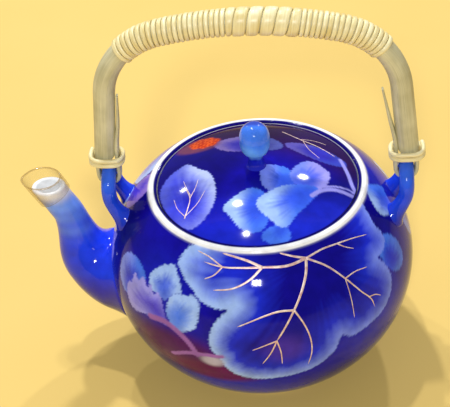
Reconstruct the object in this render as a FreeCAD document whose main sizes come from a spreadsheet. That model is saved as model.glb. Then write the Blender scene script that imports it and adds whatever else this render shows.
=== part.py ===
import FreeCAD, Part
import math
import os
import Sketcher

# Porcelain teapot with a bail of bent cane: one solid for each physical piece.
# Millimetres, +Z up, spout towards -X, the foot rests on Z = 0.

SIZES = (
    ("body_radius", 70.0),
    ("equator_height", 54.0),
    ("wall", 3.4),
    ("foot_radius", 40.5),
    ("foot_height", 4.2),
    ("foot_width", 4.6),
    ("foot_chamfer", 0.9),
    ("base_recess", 3.6),
    ("rim_radius", 48.9),
    ("rim_height", 94.4),
    ("rim_width", 3.8),
    ("rim_round", 3.4),
    ("rim_crown", 0.9),
    ("ledge_drop", 3.0),
    ("ledge_width", 4.0),
    ("ledge_thickness", 3.2),
    ("ledge_fillet_drop", 2.6),
    ("lid_clearance", 0.4),
    ("lid_rise", 9.0),
    ("lid_thickness", 3.2),
    ("flange_depth", 7.0),
    ("flange_thickness", 2.8),
    ("vent_radius", 1.5),
    ("vent_offset", 15.0),
    ("knob_radius", 6.8),
    ("knob_height", 22.0),
    ("knob_neck_radius", 3.3),
    ("knob_neck_rise", 4.6),
    ("knob_foot_radius", 6.0),
    ("knob_egg_half", 8.0),
    ("knob_flare_arc", 4.4),
    ("strainer_hole_radius", 1.9),
    ("strainer_ring_radius", 7.0),
    ("strainer_height", 45.5),
    ("strainer_count", 6),
    ("spout_depth", 16.0),
    ("spout_root_radius", 21.5),
    ("spout_root_drop", 12.0),
    ("spout_root_tilt", 88.0),
    ("spout_shoulder_out", -1.0),
    ("spout_shoulder_drop", 9.5),
    ("spout_shoulder_radius", 19.6),
    ("spout_shoulder_tilt", 68.0),
    ("spout_bend_out", 10.3),
    ("spout_bend_rise", -1.0),
    ("spout_bend_radius", 14.6),
    ("spout_bend_tilt", 38.0),
    ("spout_neck_out", 15.2),
    ("spout_neck_rise", 13.0),
    ("spout_neck_radius", 9.2),
    ("spout_neck_tilt", 10.0),
    ("spout_throat_out", 17.4),
    ("spout_throat_rise", 24.0),
    ("spout_throat_radius", 7.3),
    ("spout_throat_tilt", 15.0),
    ("spout_tip_out", 20.9),
    ("spout_tip_rise", 31.5),
    ("spout_tip_radius", 7.0),
    ("spout_tip_tilt", 26.0),
    ("spout_tip_length", 18.0),
    ("spout_wall", 2.2),
    ("guard_fit", 0.2),
    ("guard_wall", 0.8),
    ("guard_cover", 6.0),
    ("guard_rise", 4.2),
    ("guard_length", 32.0),
    ("guard_flare", 1.6),
    ("lug_inset", 4.2),
    ("lug_pivot_height", 93.9),
    ("lug_arch_radius", 8.3),
    ("lug_tube_radius", 3.3),
    ("lug_straight", 3.0),
    ("lug_foot_in", 8.5),
    ("lug_foot_drop", 17.0),
    ("lug_foot_splay", 1.2),
    ("lug_foot_radius", 4.2),
    ("loop_clearance", 0.3),
    ("loop_slack", 1.0),
    ("loop_width", 5.4),
    ("loop_thickness", 1.9),
    ("cane_radius", 4.8),
    ("cane_end_gap", 0.6),
    ("cane_offset", 1.2),
    ("handle_top", 176.4),
    ("handle_crown_arc", 168.0),
    ("handle_crown_angle", 13.0),
    ("handle_lean", 6.2),
    ("loop_root_rise", 4.0),
    ("tail_seat_rise", 8.0),
    ("tail_gap", 0.2),
    ("tail_length", 28.0),
    ("tail_tip_width", 2.6),
    ("tail_tip_thickness", 0.9),
    ("tail_spring", 2.6),
    ("wrap_fit", 0.08),
    ("wrap_thickness", 1.0),
    ("wrap_pitch", 2.15),
    ("wrap_gap", 0.55),
    ("wrap_front_turns", 22),
    ("wrap_back_turns", 17),
    ("band_thickness", 1.2),
    ("band_pitch", 5.6),
    ("band_turns", 6),
    ("wrap_start", -53.2),
    ("wrap_crown_share", 0.7),
    ("wrap_steps", 12),
    ("collar_strand_radius", 1.0),
    ("collar_pitch", 2.45),
    ("collar_turns", 2),
    ("collar_fit", 0.25),
    ("collar_power", 3.0),
    ("collar_steps", 8),
)

# Sizes that follow from the ones above, each written once as a formula.
DERIVED = (
    ("rim_inner", "Sizes.rim_radius - Sizes.rim_width"),
    ("rim_top", "Sizes.rim_height + Sizes.rim_crown"),
    ("rim_mid", "Sizes.rim_radius - Sizes.rim_width / 2"),
    ("shoulder_in", "Sizes.body_radius - Sizes.rim_radius"),
    ("shoulder_up", "Sizes.rim_height - Sizes.equator_height"),
    ("shoulder_arc", "(shoulder_in ^ 2 + shoulder_up ^ 2) / (2 * shoulder_in)"),
    ("belly_in", "Sizes.body_radius - Sizes.foot_radius"),
    ("belly_down", "Sizes.equator_height - Sizes.foot_height"),
    ("belly_arc", "(belly_in ^ 2 + belly_down ^ 2) / (2 * belly_in)"),
    ("inner_radius", "Sizes.body_radius - Sizes.wall"),
    ("inner_shoulder_arc", "shoulder_arc - Sizes.wall"),
    ("inner_belly_arc", "belly_arc - Sizes.wall"),
    ("ledge_height", "Sizes.rim_height - Sizes.ledge_drop"),
    ("mouth_radius", "rim_inner - Sizes.ledge_width"),
    ("ledge_under", "ledge_height - Sizes.ledge_thickness"),
    ("ledge_root_height", "ledge_under - Sizes.ledge_fillet_drop"),
    ("ledge_root_up", "ledge_root_height - Sizes.equator_height"),
    (
        "ledge_root_radius",
        "Sizes.body_radius - shoulder_arc + sqrt(inner_shoulder_arc ^ 2 - ledge_root_up ^ 2)",
    ),
    ("floor_height", "Sizes.base_recess + Sizes.wall"),
    ("floor_down", "Sizes.equator_height - floor_height"),
    (
        "floor_radius",
        "Sizes.body_radius - belly_arc + sqrt(inner_belly_arc ^ 2 - floor_down ^ 2)",
    ),
    ("foot_inner", "Sizes.foot_radius - Sizes.foot_width"),
    ("foot_face_outer", "Sizes.foot_radius - Sizes.foot_chamfer"),
    ("foot_face_inner", "foot_inner + Sizes.foot_chamfer"),
    ("lid_radius", "rim_inner - Sizes.lid_clearance"),
    ("lid_edge_top", "Sizes.rim_height"),
    ("lid_top", "lid_edge_top + Sizes.lid_rise"),
    ("lid_arc", "(lid_radius ^ 2 + Sizes.lid_rise ^ 2) / (2 * Sizes.lid_rise)"),
    ("lid_inner_arc", "lid_arc - Sizes.lid_thickness"),
    ("lid_inner_top", "lid_top - Sizes.lid_thickness"),
    ("flange_outer", "mouth_radius - Sizes.lid_clearance"),
    ("flange_inner", "flange_outer - Sizes.flange_thickness"),
    ("flange_bottom", "ledge_height - Sizes.flange_depth"),
    ("flange_root_height", "lid_top - lid_arc + sqrt(lid_inner_arc ^ 2 - flange_inner ^ 2)"),
    ("knob_top", "lid_top + Sizes.knob_height"),
    ("knob_egg_height", "knob_top - Sizes.knob_egg_half"),
    ("knob_foot_height", "lid_top - lid_arc + sqrt(lid_arc ^ 2 - Sizes.knob_foot_radius ^ 2)"),
    ("knob_neck_height", "lid_top + Sizes.knob_neck_rise"),
    (
        "knob_top_arc",
        "(Sizes.knob_radius ^ 2 + Sizes.knob_egg_half ^ 2) / (2 * Sizes.knob_egg_half)",
    ),
    ("knob_under_in", "Sizes.knob_radius - Sizes.knob_neck_radius"),
    ("knob_under_down", "knob_egg_height - knob_neck_height"),
    ("knob_under_arc", "(knob_under_in ^ 2 + knob_under_down ^ 2) / (2 * knob_under_in)"),
    ("strainer_reach", "Sizes.body_radius * 1.2"),
    ("spout_0_x", "-(Sizes.body_radius - Sizes.spout_depth)"),
    ("spout_0_z", "Sizes.equator_height - Sizes.spout_root_drop"),
    ("spout_1_x", "-(Sizes.body_radius + Sizes.spout_shoulder_out)"),
    ("spout_1_z", "Sizes.equator_height - Sizes.spout_shoulder_drop"),
    ("spout_2_x", "-(Sizes.body_radius + Sizes.spout_bend_out)"),
    ("spout_2_z", "Sizes.equator_height + Sizes.spout_bend_rise"),
    ("spout_3_x", "-(Sizes.body_radius + Sizes.spout_neck_out)"),
    ("spout_3_z", "Sizes.equator_height + Sizes.spout_neck_rise"),
    ("spout_4_x", "-(Sizes.body_radius + Sizes.spout_throat_out)"),
    ("spout_4_z", "Sizes.equator_height + Sizes.spout_throat_rise"),
    ("spout_5_x", "-(Sizes.body_radius + Sizes.spout_tip_out)"),
    ("spout_5_z", "Sizes.equator_height + Sizes.spout_tip_rise"),
    ("spout_6_x", "spout_5_x - Sizes.spout_tip_length * sin(Sizes.spout_tip_tilt)"),
    ("spout_6_z", "spout_5_z + Sizes.spout_tip_length * cos(Sizes.spout_tip_tilt)"),
    ("bore_0_radius", "Sizes.spout_root_radius - Sizes.spout_wall"),
    ("bore_1_radius", "Sizes.spout_shoulder_radius - Sizes.spout_wall"),
    ("bore_2_radius", "Sizes.spout_bend_radius - Sizes.spout_wall"),
    ("bore_3_radius", "Sizes.spout_neck_radius - Sizes.spout_wall"),
    ("bore_4_radius", "Sizes.spout_throat_radius - Sizes.spout_wall"),
    ("bore_5_radius", "Sizes.spout_tip_radius - Sizes.spout_wall"),
    ("guard_inner", "Sizes.spout_tip_radius + Sizes.guard_fit"),
    ("guard_outer", "guard_inner + Sizes.guard_wall"),
    ("guard_end_inner", "guard_inner + Sizes.guard_flare"),
    ("guard_end_outer", "guard_outer + Sizes.guard_flare"),
    ("mouth_reach", "(Sizes.rim_height - spout_5_z) / cos(Sizes.spout_tip_tilt)"),
    ("guard_back", "mouth_reach - Sizes.guard_cover"),
    ("guard_x", "spout_5_x - guard_back * sin(Sizes.spout_tip_tilt)"),
    ("guard_z", "spout_5_z + guard_back * cos(Sizes.spout_tip_tilt)"),
    ("guard_end_x", "guard_x - Sizes.guard_length * sin(Sizes.spout_tip_tilt)"),
    ("guard_end_z", "guard_z + Sizes.guard_length * cos(Sizes.spout_tip_tilt)"),
    ("guard_top", "Sizes.rim_height + Sizes.guard_rise"),
    ("cut_half", "Sizes.body_radius"),
    ("lug_crown_height", "Sizes.lug_pivot_height + Sizes.lug_arch_radius"),
    ("lug_bend_height", "Sizes.lug_pivot_height - Sizes.lug_straight"),
    ("lug_foot_height", "Sizes.lug_pivot_height - Sizes.lug_foot_drop"),
    ("lug_span", "Sizes.body_radius - Sizes.lug_inset"),
    ("lug_foot_span", "lug_span - Sizes.lug_foot_in"),
    ("lug_foot_reach", "Sizes.lug_arch_radius + Sizes.lug_foot_splay"),
    ("lug_crown_top", "lug_crown_height + Sizes.lug_tube_radius"),
    ("loop_half", "Sizes.lug_tube_radius + Sizes.loop_clearance + Sizes.loop_thickness / 2"),
    ("loop_outer_x", "lug_span + loop_half"),
    ("loop_inner_x", "lug_span - loop_half"),
    ("loop_bend_height", "lug_crown_height - Sizes.loop_slack"),
    ("leg_x", "lug_span + Sizes.cane_offset"),
    ("leg_z", "lug_crown_top + Sizes.cane_end_gap"),
    ("loop_root_height", "leg_z + Sizes.loop_root_rise"),
    ("leg_heading", "90 - Sizes.handle_lean"),
    ("crown_end_x", "Sizes.handle_crown_arc * sin(Sizes.handle_crown_angle)"),
    (
        "crown_end_z",
        "Sizes.handle_top - Sizes.handle_crown_arc * (1 - cos(Sizes.handle_crown_angle))",
    ),
    ("corner_reach_x", "(leg_x - crown_end_x) * sin(leg_heading)"),
    ("corner_reach_z", "(leg_z - crown_end_z) * cos(leg_heading)"),
    ("corner_turn", "leg_heading - Sizes.handle_crown_angle"),
    ("corner_arc", "(corner_reach_x + corner_reach_z) / (1 - cos(corner_turn))"),
    (
        "corner_end_x",
        "crown_end_x + corner_arc * (sin(leg_heading) - sin(Sizes.handle_crown_angle))",
    ),
    (
        "corner_end_z",
        "crown_end_z + corner_arc * (cos(leg_heading) - cos(Sizes.handle_crown_angle))",
    ),
    ("tail_seat_height", "leg_z + Sizes.tail_seat_rise"),
    ("tail_mid_height", "tail_seat_height + Sizes.tail_length / 2"),
    ("tail_tip_height", "tail_seat_height + Sizes.tail_length"),
    ("tail_mid_width", "(Sizes.loop_width + Sizes.tail_tip_width) / 2"),
    ("tail_mid_thickness", "(Sizes.loop_thickness + Sizes.tail_tip_thickness) / 2"),
    ("leg_inner_x", "leg_x - Sizes.cane_radius / cos(Sizes.handle_lean)"),
    (
        "tail_mid_face",
        "leg_inner_x - (tail_mid_height - leg_z) * tan(Sizes.handle_lean) - Sizes.tail_gap",
    ),
    (
        "tail_tip_face",
        "leg_inner_x - (tail_tip_height - leg_z) * tan(Sizes.handle_lean) - Sizes.tail_gap",
    ),
    ("tail_seat_x", "loop_inner_x"),
    ("tail_mid_x", "tail_mid_face - tail_mid_thickness / 2"),
    ("tail_tip_x", "tail_tip_face - Sizes.tail_tip_thickness / 2"),
    ("tail_mid_sprung_x", "tail_mid_x - Sizes.tail_spring / 3"),
    ("tail_tip_sprung_x", "tail_tip_x - Sizes.tail_spring"),
)

DOC = FreeCAD.newDocument("Teapot")
WHERE = {}


def fill_sheet(name, rows, formula):
    """Write one sheet, with the name of each size beside its cell and as its alias."""
    sheet = DOC.addObject("Spreadsheet::Sheet", name)
    for row, (alias, content) in enumerate(rows, start=1):
        cell = "B%d" % row
        sheet.set("A%d" % row, alias)
        sheet.set(cell, "=" + content if formula else str(content))
        sheet.setAlias(cell, alias)
        WHERE[alias] = name
    DOC.recompute()


def size(alias):
    """The number that a cell holds."""
    return float(getattr(DOC.getObject(WHERE[alias]), alias))


def cell(alias):
    """The cell as an expression names it."""
    return "%s.%s" % (WHERE[alias], alias)


def new_body(name):
    """An empty body whose label is the name of the piece."""
    body = DOC.addObject("PartDesign::Body", name)
    body.Label = name
    return body


def datum(body, role):
    """One of the body's own origin planes or axes."""
    return [item for item in body.Origin.OriginFeatures if item.Role == role][0]


def new_sketch(body, plane, place=None, bound=()):
    """A sketch on an origin plane, moved by an offset whose numbers are bound to cells."""
    sketch = body.newObject("Sketcher::SketchObject", body.Label + "_sketch")
    sketch.AttachmentSupport = [(datum(body, plane), "")]
    sketch.MapMode = "FlatFace"
    if place is not None:
        sketch.AttachmentOffset = place
    for path, text in bound:
        sketch.setExpression("AttachmentOffset." + path, text)
    DOC.recompute()
    return sketch


def bind(sketch, kind, refs, value, text):
    """Add a measured constraint and bind it to an expression."""
    index = sketch.addConstraint(Sketcher.Constraint(kind, *refs, value))
    sketch.setExpression("Constraints[%d]" % index, text)


def pin(sketch, geo, pos, x_name, y_name):
    """Hold a vertex at two cells; an empty name puts it on the sketch's axis."""
    if x_name:
        bind(sketch, "DistanceX", (-1, 1, geo, pos), size(x_name), cell(x_name))
    else:
        sketch.addConstraint(Sketcher.Constraint("PointOnObject", geo, pos, -2))
    if y_name:
        bind(sketch, "DistanceY", (-1, 1, geo, pos), size(y_name), cell(y_name))
    else:
        sketch.addConstraint(Sketcher.Constraint("PointOnObject", geo, pos, -1))


def spot(names):
    """The point that a pair of cell names gives."""
    coords = [size(name) if name else 0.0 for name in names]
    return FreeCAD.Vector(coords[0], coords[1], 0)


def arc_between(start, end, radius, side):
    """The short arc from start to end; its centre is to the left where side is 1."""
    chord = end - start
    half = chord.Length / 2
    normal = FreeCAD.Vector(-chord.y, chord.x, 0).normalize()
    middle = (start + end) * 0.5
    rise = math.sqrt(max(radius * radius - half * half, 0.0))
    centre = middle + normal * (side * rise)
    first, last = (start, end) if side > 0 else (end, start)
    a0 = math.atan2(first.y - centre.y, first.x - centre.x)
    a1 = math.atan2(last.y - centre.y, last.x - centre.x)
    circle = Part.Circle(centre, FreeCAD.Vector(0, 0, 1), radius)
    return Part.ArcOfCircle(circle, a0, a1)


def outline(sketch, corners, arcs, closed=True):
    """Draw corner to corner, straight or as an arc {index: (radius cell, side)}, all pinned."""
    count = len(corners) if closed else len(corners) - 1
    ends = []
    for index in range(count):
        start = spot(corners[index])
        end = spot(corners[(index + 1) % len(corners)])
        if index in arcs:
            radius, side = arcs[index]
            geo = sketch.addGeometry(arc_between(start, end, size(radius), side), False)
            ends.append((geo, 1, 2) if side > 0 else (geo, 2, 1))
        else:
            geo = sketch.addGeometry(Part.LineSegment(start, end), False)
            ends.append((geo, 1, 2))
    for index in range(count if closed else count - 1):
        geo, _, last = ends[index]
        after, first, _ = ends[(index + 1) % count]
        sketch.addConstraint(Sketcher.Constraint("Coincident", geo, last, after, first))
    for index in range(count):
        pin(sketch, ends[index][0], ends[index][1], *corners[index])
    if not closed:
        pin(sketch, ends[-1][0], ends[-1][2], *corners[-1])
    for index, (radius, _) in arcs.items():
        bind(sketch, "Radius", (ends[index][0],), size(radius), cell(radius))


def circle_in(sketch, radius_name, x_name="", y_name=""):
    """A circle whose radius and centre are cells."""
    middle = spot((x_name, y_name))
    circle = Part.Circle(middle, FreeCAD.Vector(0, 0, 1), size(radius_name))
    geo = sketch.addGeometry(circle, False)
    pin(sketch, geo, 3, x_name, y_name)
    bind(sketch, "Radius", (geo,), size(radius_name), cell(radius_name))


def block_in(sketch, width_text, width, depth_text, depth):
    """A rectangle about the sketch's origin, width along X and depth along Y."""
    x = width / 2
    y = depth / 2
    spots = [(-x, -y), (x, -y), (x, y), (-x, y)]
    vectors = [FreeCAD.Vector(a, b, 0) for a, b in spots]
    geos = []
    for index in range(4):
        line = Part.LineSegment(vectors[index], vectors[(index + 1) % 4])
        geos.append(sketch.addGeometry(line, False))
    for index in range(4):
        after = geos[(index + 1) % 4]
        sketch.addConstraint(Sketcher.Constraint("Coincident", geos[index], 2, after, 1))
        level = "Horizontal" if index % 2 == 0 else "Vertical"
        sketch.addConstraint(Sketcher.Constraint(level, geos[index]))
    sketch.addConstraint(Sketcher.Constraint("Symmetric", geos[0], 1, geos[1], 2, -1, 1))
    bind(sketch, "DistanceX", (geos[0], 1, geos[0], 2), width, width_text)
    bind(sketch, "DistanceY", (geos[1], 1, geos[1], 2), depth, depth_text)


def revolve(body, kind, sketch, axis="V_Axis"):
    """A full turn of a sketch about one of its own axes, added or cut."""
    turn = body.newObject("PartDesign::" + kind, body.Label + "_turn")
    turn.Profile = sketch
    turn.ReferenceAxis = (sketch, [axis])
    turn.Angle = 360.0
    return turn


def loft(body, kind, sketches):
    """A smooth loft through sketches, added or cut."""
    skin = body.newObject("PartDesign::" + kind, body.Label + "_loft")
    skin.Profile = sketches[0]
    skin.Sections = sketches[1:]
    return skin


def shift(x, y, z):
    """A move without a turn."""
    return FreeCAD.Placement(FreeCAD.Vector(x, y, z), FreeCAD.Rotation())


def level_sketch(body, z_name, x_text="", x=0.0):
    """A level sketch at a height, its origin moved along X where asked."""
    bound = [("Base.z", cell(z_name))]
    if x_text:
        bound.append(("Base.x", x_text))
    return new_sketch(body, "XY_Plane", shift(x, 0, size(z_name)), bound)


def tilted_sketch(body, x_name, z_name, tilt_name):
    """A sketch square to a line that leans from the vertical towards the spout."""
    turn = FreeCAD.Rotation(FreeCAD.Vector(0, -1, 0), size(tilt_name))
    place = FreeCAD.Placement(FreeCAD.Vector(size(x_name), 0, size(z_name)), turn)
    bound = (
        ("Base.x", cell(x_name)),
        ("Base.z", cell(z_name)),
        ("Rotation.Angle", cell(tilt_name)),
    )
    return new_sketch(body, "XY_Plane", place, bound)


def carve_by_body(body):
    """Cut a luted piece back to the outside of the pot, so that the two meet on one face."""
    sketch = new_sketch(body, "XZ_Plane")
    corners = [
        ("", "foot_height"),
        ("foot_radius", "foot_height"),
        ("body_radius", "equator_height"),
        ("rim_radius", "rim_height"),
        ("", "rim_height"),
    ]
    outline(sketch, corners, {1: ("belly_arc", 1), 2: ("shoulder_arc", 1)})
    revolve(body, "Groove", sketch)


def cut_above(body, z_name):
    """Cut away all that stands above a level."""
    sketch = level_sketch(body, z_name, "Derived.spout_6_x", size("spout_6_x"))
    wide = cell("cut_half")
    block_in(sketch, wide, size("cut_half"), wide, size("cut_half"))
    cut = body.newObject("PartDesign::Pocket", body.Label + "_mouth")
    cut.Profile = sketch
    cut.Reversed = True
    cut.Length = size("cut_half")
    cut.setExpression("Length", cell("cut_half"))


def make_pot_body():
    """Thrown shell: foot ring, belly, shoulder, rim, lid ledge, and a pierced strainer."""
    body = new_body("pot_body")
    sketch = new_sketch(body, "XZ_Plane")
    corners = [
        ("", "base_recess"),
        ("foot_inner", "base_recess"),
        ("foot_inner", "foot_chamfer"),
        ("foot_face_inner", ""),
        ("foot_face_outer", ""),
        ("foot_radius", "foot_chamfer"),
        ("foot_radius", "foot_height"),
        ("body_radius", "equator_height"),
        ("rim_radius", "rim_height"),
        ("rim_mid", "rim_top"),
        ("rim_inner", "rim_height"),
        ("rim_inner", "ledge_height"),
        ("mouth_radius", "ledge_height"),
        ("mouth_radius", "ledge_under"),
        ("ledge_root_radius", "ledge_root_height"),
        ("inner_radius", "equator_height"),
        ("floor_radius", "floor_height"),
        ("", "floor_height"),
    ]
    arcs = {
        6: ("belly_arc", 1),
        7: ("shoulder_arc", 1),
        8: ("rim_round", 1),
        9: ("rim_round", 1),
        14: ("inner_shoulder_arc", -1),
        15: ("inner_belly_arc", -1),
    }
    outline(sketch, corners, arcs)
    revolve(body, "Revolution", sketch)
    place = shift(0, size("strainer_height"), 0)
    bound = [("Base.y", cell("strainer_height"))]
    middle = new_sketch(body, "YZ_Plane", place, bound)
    circle_in(middle, "strainer_hole_radius")
    around = new_sketch(body, "YZ_Plane", place, bound)
    circle_in(around, "strainer_hole_radius", "", "strainer_ring_radius")
    holes = []
    for sketch in (middle, around):
        hole = body.newObject("PartDesign::Pocket", "strainer_hole")
        hole.Profile = sketch
        hole.Length = size("strainer_reach")
        hole.setExpression("Length", cell("strainer_reach"))
        holes.append(hole)
    ring = body.newObject("PartDesign::PolarPattern", "strainer_ring")
    ring.Originals = [holes[1]]
    ring.Axis = (around, ["N_Axis"])
    ring.Angle = 360.0
    ring.Occurrences = int(size("strainer_count"))
    ring.setExpression("Occurrences", cell("strainer_count"))
    body.Tip = ring
    return body


def make_lid():
    """Dropped-in dome that rests on the ledge, with a locating flange and a steam vent."""
    body = new_body("lid")
    sketch = new_sketch(body, "XZ_Plane")
    corners = [
        ("", "lid_inner_top"),
        ("flange_inner", "flange_root_height"),
        ("flange_inner", "flange_bottom"),
        ("flange_outer", "flange_bottom"),
        ("flange_outer", "ledge_height"),
        ("lid_radius", "ledge_height"),
        ("lid_radius", "lid_edge_top"),
        ("", "lid_top"),
    ]
    outline(sketch, corners, {0: ("lid_inner_arc", -1), 6: ("lid_arc", 1)})
    revolve(body, "Revolution", sketch)
    vent = new_sketch(body, "XY_Plane")
    circle_in(vent, "vent_radius", "", "vent_offset")
    hole = body.newObject("PartDesign::Pocket", "steam_vent")
    hole.Profile = vent
    hole.Reversed = True
    hole.Type = "ThroughAll"
    return body


def make_knob():
    """Egg on a flared neck, its foot on the dome of the lid."""
    body = new_body("lid_knob")
    sketch = new_sketch(body, "XZ_Plane")
    corners = [
        ("", "lid_top"),
        ("knob_foot_radius", "knob_foot_height"),
        ("knob_neck_radius", "knob_neck_height"),
        ("knob_radius", "knob_egg_height"),
        ("", "knob_top"),
    ]
    arcs = {
        0: ("lid_arc", -1),
        1: ("knob_flare_arc", -1),
        2: ("knob_under_arc", 1),
        3: ("knob_top_arc", 1),
    }
    outline(sketch, corners, arcs)
    revolve(body, "Revolution", sketch)
    return body


def make_spout():
    """S-shaped spout lofted through rings, bored, cut back to the belly and cut level at the tip."""
    body = new_body("spout")
    stations = (
        ("spout_0_x", "spout_0_z", "spout_root_tilt", "spout_root_radius", "bore_0_radius"),
        ("spout_1_x", "spout_1_z", "spout_shoulder_tilt", "spout_shoulder_radius", "bore_1_radius"),
        ("spout_2_x", "spout_2_z", "spout_bend_tilt", "spout_bend_radius", "bore_2_radius"),
        ("spout_3_x", "spout_3_z", "spout_neck_tilt", "spout_neck_radius", "bore_3_radius"),
        ("spout_4_x", "spout_4_z", "spout_throat_tilt", "spout_throat_radius", "bore_4_radius"),
        ("spout_5_x", "spout_5_z", "spout_tip_tilt", "spout_tip_radius", "bore_5_radius"),
    )
    last = ("spout_6_x", "spout_6_z", "spout_tip_tilt", "spout_tip_radius", "bore_5_radius")
    for kind, column in (("AdditiveLoft", 3), ("SubtractiveLoft", 4)):
        rings = []
        for station in stations:
            ring = tilted_sketch(body, *station[:3])
            circle_in(ring, station[column])
            rings.append(ring)
        loft(body, kind, rings)
        ring = tilted_sketch(body, *stations[-1][:3])
        circle_in(ring, stations[-1][column])
        end = tilted_sketch(body, *last[:3])
        circle_in(end, last[column])
        loft(body, kind, [ring, end])
    carve_by_body(body)
    cut_above(body, "rim_height")
    return body


def make_guard():
    """Clear flared sleeve pushed over the straight tip of the spout, cut level above it."""
    body = new_body("spout_guard")
    for kind, start, end in (
        ("AdditiveLoft", "guard_outer", "guard_end_outer"),
        ("SubtractiveLoft", "guard_inner", "guard_end_inner"),
    ):
        near = tilted_sketch(body, "guard_x", "guard_z", "spout_tip_tilt")
        circle_in(near, start)
        far = tilted_sketch(body, "guard_end_x", "guard_end_z", "spout_tip_tilt")
        circle_in(far, end)
        loft(body, kind, [near, far])
    cut_above(body, "guard_top")
    return body


def make_lug(name, side):
    """Arched loop: half a ring about the hinge line, two legs that lean in to the shoulder."""
    body = new_body(name)
    sign = "-" if side < 0 else ""
    span = sign + cell("lug_span")
    foot = sign + cell("lug_foot_span")
    x = side * size("lug_span")
    place = shift(x, size("lug_pivot_height"), 0)
    bound = [("Base.x", span), ("Base.y", cell("lug_pivot_height"))]
    sketch = new_sketch(body, "XZ_Plane", place, bound)
    circle_in(sketch, "lug_tube_radius", "", "lug_arch_radius")
    arch = revolve(body, "Revolution", sketch, "H_Axis")
    arch.Angle = 180.0
    arch.Midplane = True
    top = level_sketch(body, "lug_pivot_height", span, x)
    circle_in(top, "lug_tube_radius", "", "lug_arch_radius")
    bend = level_sketch(body, "lug_bend_height", span, x)
    circle_in(bend, "lug_tube_radius", "", "lug_arch_radius")
    base = level_sketch(body, "lug_foot_height", foot, side * size("lug_foot_span"))
    circle_in(base, "lug_foot_radius", "", "lug_foot_reach")
    straight = loft(body, "AdditiveLoft", [top, bend])
    again = level_sketch(body, "lug_bend_height", span, x)
    circle_in(again, "lug_tube_radius", "", "lug_arch_radius")
    lean = loft(body, "AdditiveLoft", [again, base])
    twin = body.newObject("PartDesign::Mirrored", name + "_twin")
    twin.Originals = [straight, lean]
    twin.MirrorPlane = (datum(body, "XZ_Plane"), [""])
    body.Tip = twin
    carve_by_body(body)
    return body


def make_cane():
    """One bent cane: wound grip, two legs, and at each end a skived loop and a tail."""
    body = new_body("handle_cane")
    path = new_sketch(body, "XZ_Plane")
    corners = [
        ("", "handle_top"),
        ("crown_end_x", "crown_end_z"),
        ("corner_end_x", "corner_end_z"),
        ("leg_x", "leg_z"),
    ]
    outline(path, corners, {0: ("handle_crown_arc", -1), 1: ("corner_arc", -1)}, False)
    place = shift(0, size("handle_top"), 0)
    ring = new_sketch(body, "YZ_Plane", place, [("Base.y", cell("handle_top"))])
    circle_in(ring, "cane_radius")
    rod = body.newObject("PartDesign::AdditivePipe", "rod")
    rod.Profile = ring
    rod.Spine = path
    hook = new_sketch(body, "XZ_Plane")
    corners = [
        ("loop_outer_x", "loop_root_height"),
        ("loop_outer_x", "loop_bend_height"),
        ("loop_inner_x", "loop_bend_height"),
        ("loop_inner_x", "tail_seat_height"),
    ]
    outline(hook, corners, {1: ("loop_half", -1)}, False)
    root = level_sketch(body, "loop_root_height", cell("loop_outer_x"), size("loop_outer_x"))
    block_in(
        root,
        cell("loop_thickness"),
        size("loop_thickness"),
        cell("loop_width"),
        size("loop_width"),
    )
    loop = body.newObject("PartDesign::AdditivePipe", "loop")
    loop.Profile = root
    loop.Spine = hook
    twin = body.newObject("PartDesign::Mirrored", "other_side")
    twin.Originals = [rod, loop]
    twin.MirrorPlane = (datum(body, "YZ_Plane"), [""])
    body.Tip = twin
    for sign, mid, tip in (
        ("-", "tail_mid_x", "tail_tip_x"),
        ("", "tail_mid_sprung_x", "tail_tip_sprung_x"),
    ):
        side = -1 if sign else 1
        rows = (
            ("tail_seat_height", "tail_seat_x", "loop_thickness", "loop_width"),
            ("tail_mid_height", mid, "tail_mid_thickness", "tail_mid_width"),
            ("tail_tip_height", tip, "tail_tip_thickness", "tail_tip_width"),
        )
        slices = []
        for z_name, x_name, thick, wide in rows:
            slab = level_sketch(body, z_name, sign + cell(x_name), side * size(x_name))
            block_in(slab, cell(thick), size(thick), cell(wide), size(wide))
            slices.append(slab)
        loft(body, "AdditiveLoft", slices)
    return body


def grip_point(along):
    """Point and heading on the middle line of the cane, by the length along it from the top."""
    way = abs(along)
    side = 1.0 if along >= 0 else -1.0
    turn_one = math.radians(size("handle_crown_angle"))
    first = size("handle_crown_arc") * turn_one
    if way <= first:
        angle = way / size("handle_crown_arc")
        x = size("handle_crown_arc") * math.sin(angle)
        z = size("handle_top") - size("handle_crown_arc") * (1 - math.cos(angle))
    else:
        angle = turn_one + (way - first) / size("corner_arc")
        x = size("crown_end_x") + size("corner_arc") * (math.sin(angle) - math.sin(turn_one))
        z = size("crown_end_z") + size("corner_arc") * (math.cos(angle) - math.cos(turn_one))
    point = FreeCAD.Vector(side * x, 0, z)
    ahead = FreeCAD.Vector(math.cos(angle), 0, -side * math.sin(angle))
    return point, ahead


def strip_edges():
    """Both edges of the winding, and its share of the broad band, at every step along its turns.

    Each turn lies beside the turn before it; the strip swells to the band within one turn.
    """
    steps = int(size("wrap_steps"))
    front = size("wrap_front_turns")
    band = size("band_turns")
    pitch = size("wrap_pitch")
    gap = size("wrap_gap")
    fine = pitch - gap
    broad = size("band_pitch") - gap
    edges = []
    for step in range(int(front + band + size("wrap_back_turns")) * steps + 1):
        turn = step / steps - front
        share = min(max(min(turn, band - turn), 0.0), 1.0)
        if step < steps:
            before = size("wrap_start") - fine + pitch * (step / steps - 1)
        else:
            before = edges[step - steps][1]
        left = before + gap
        edges.append((left, left + fine + (broad - fine) * share, share))
    return edges


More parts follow.
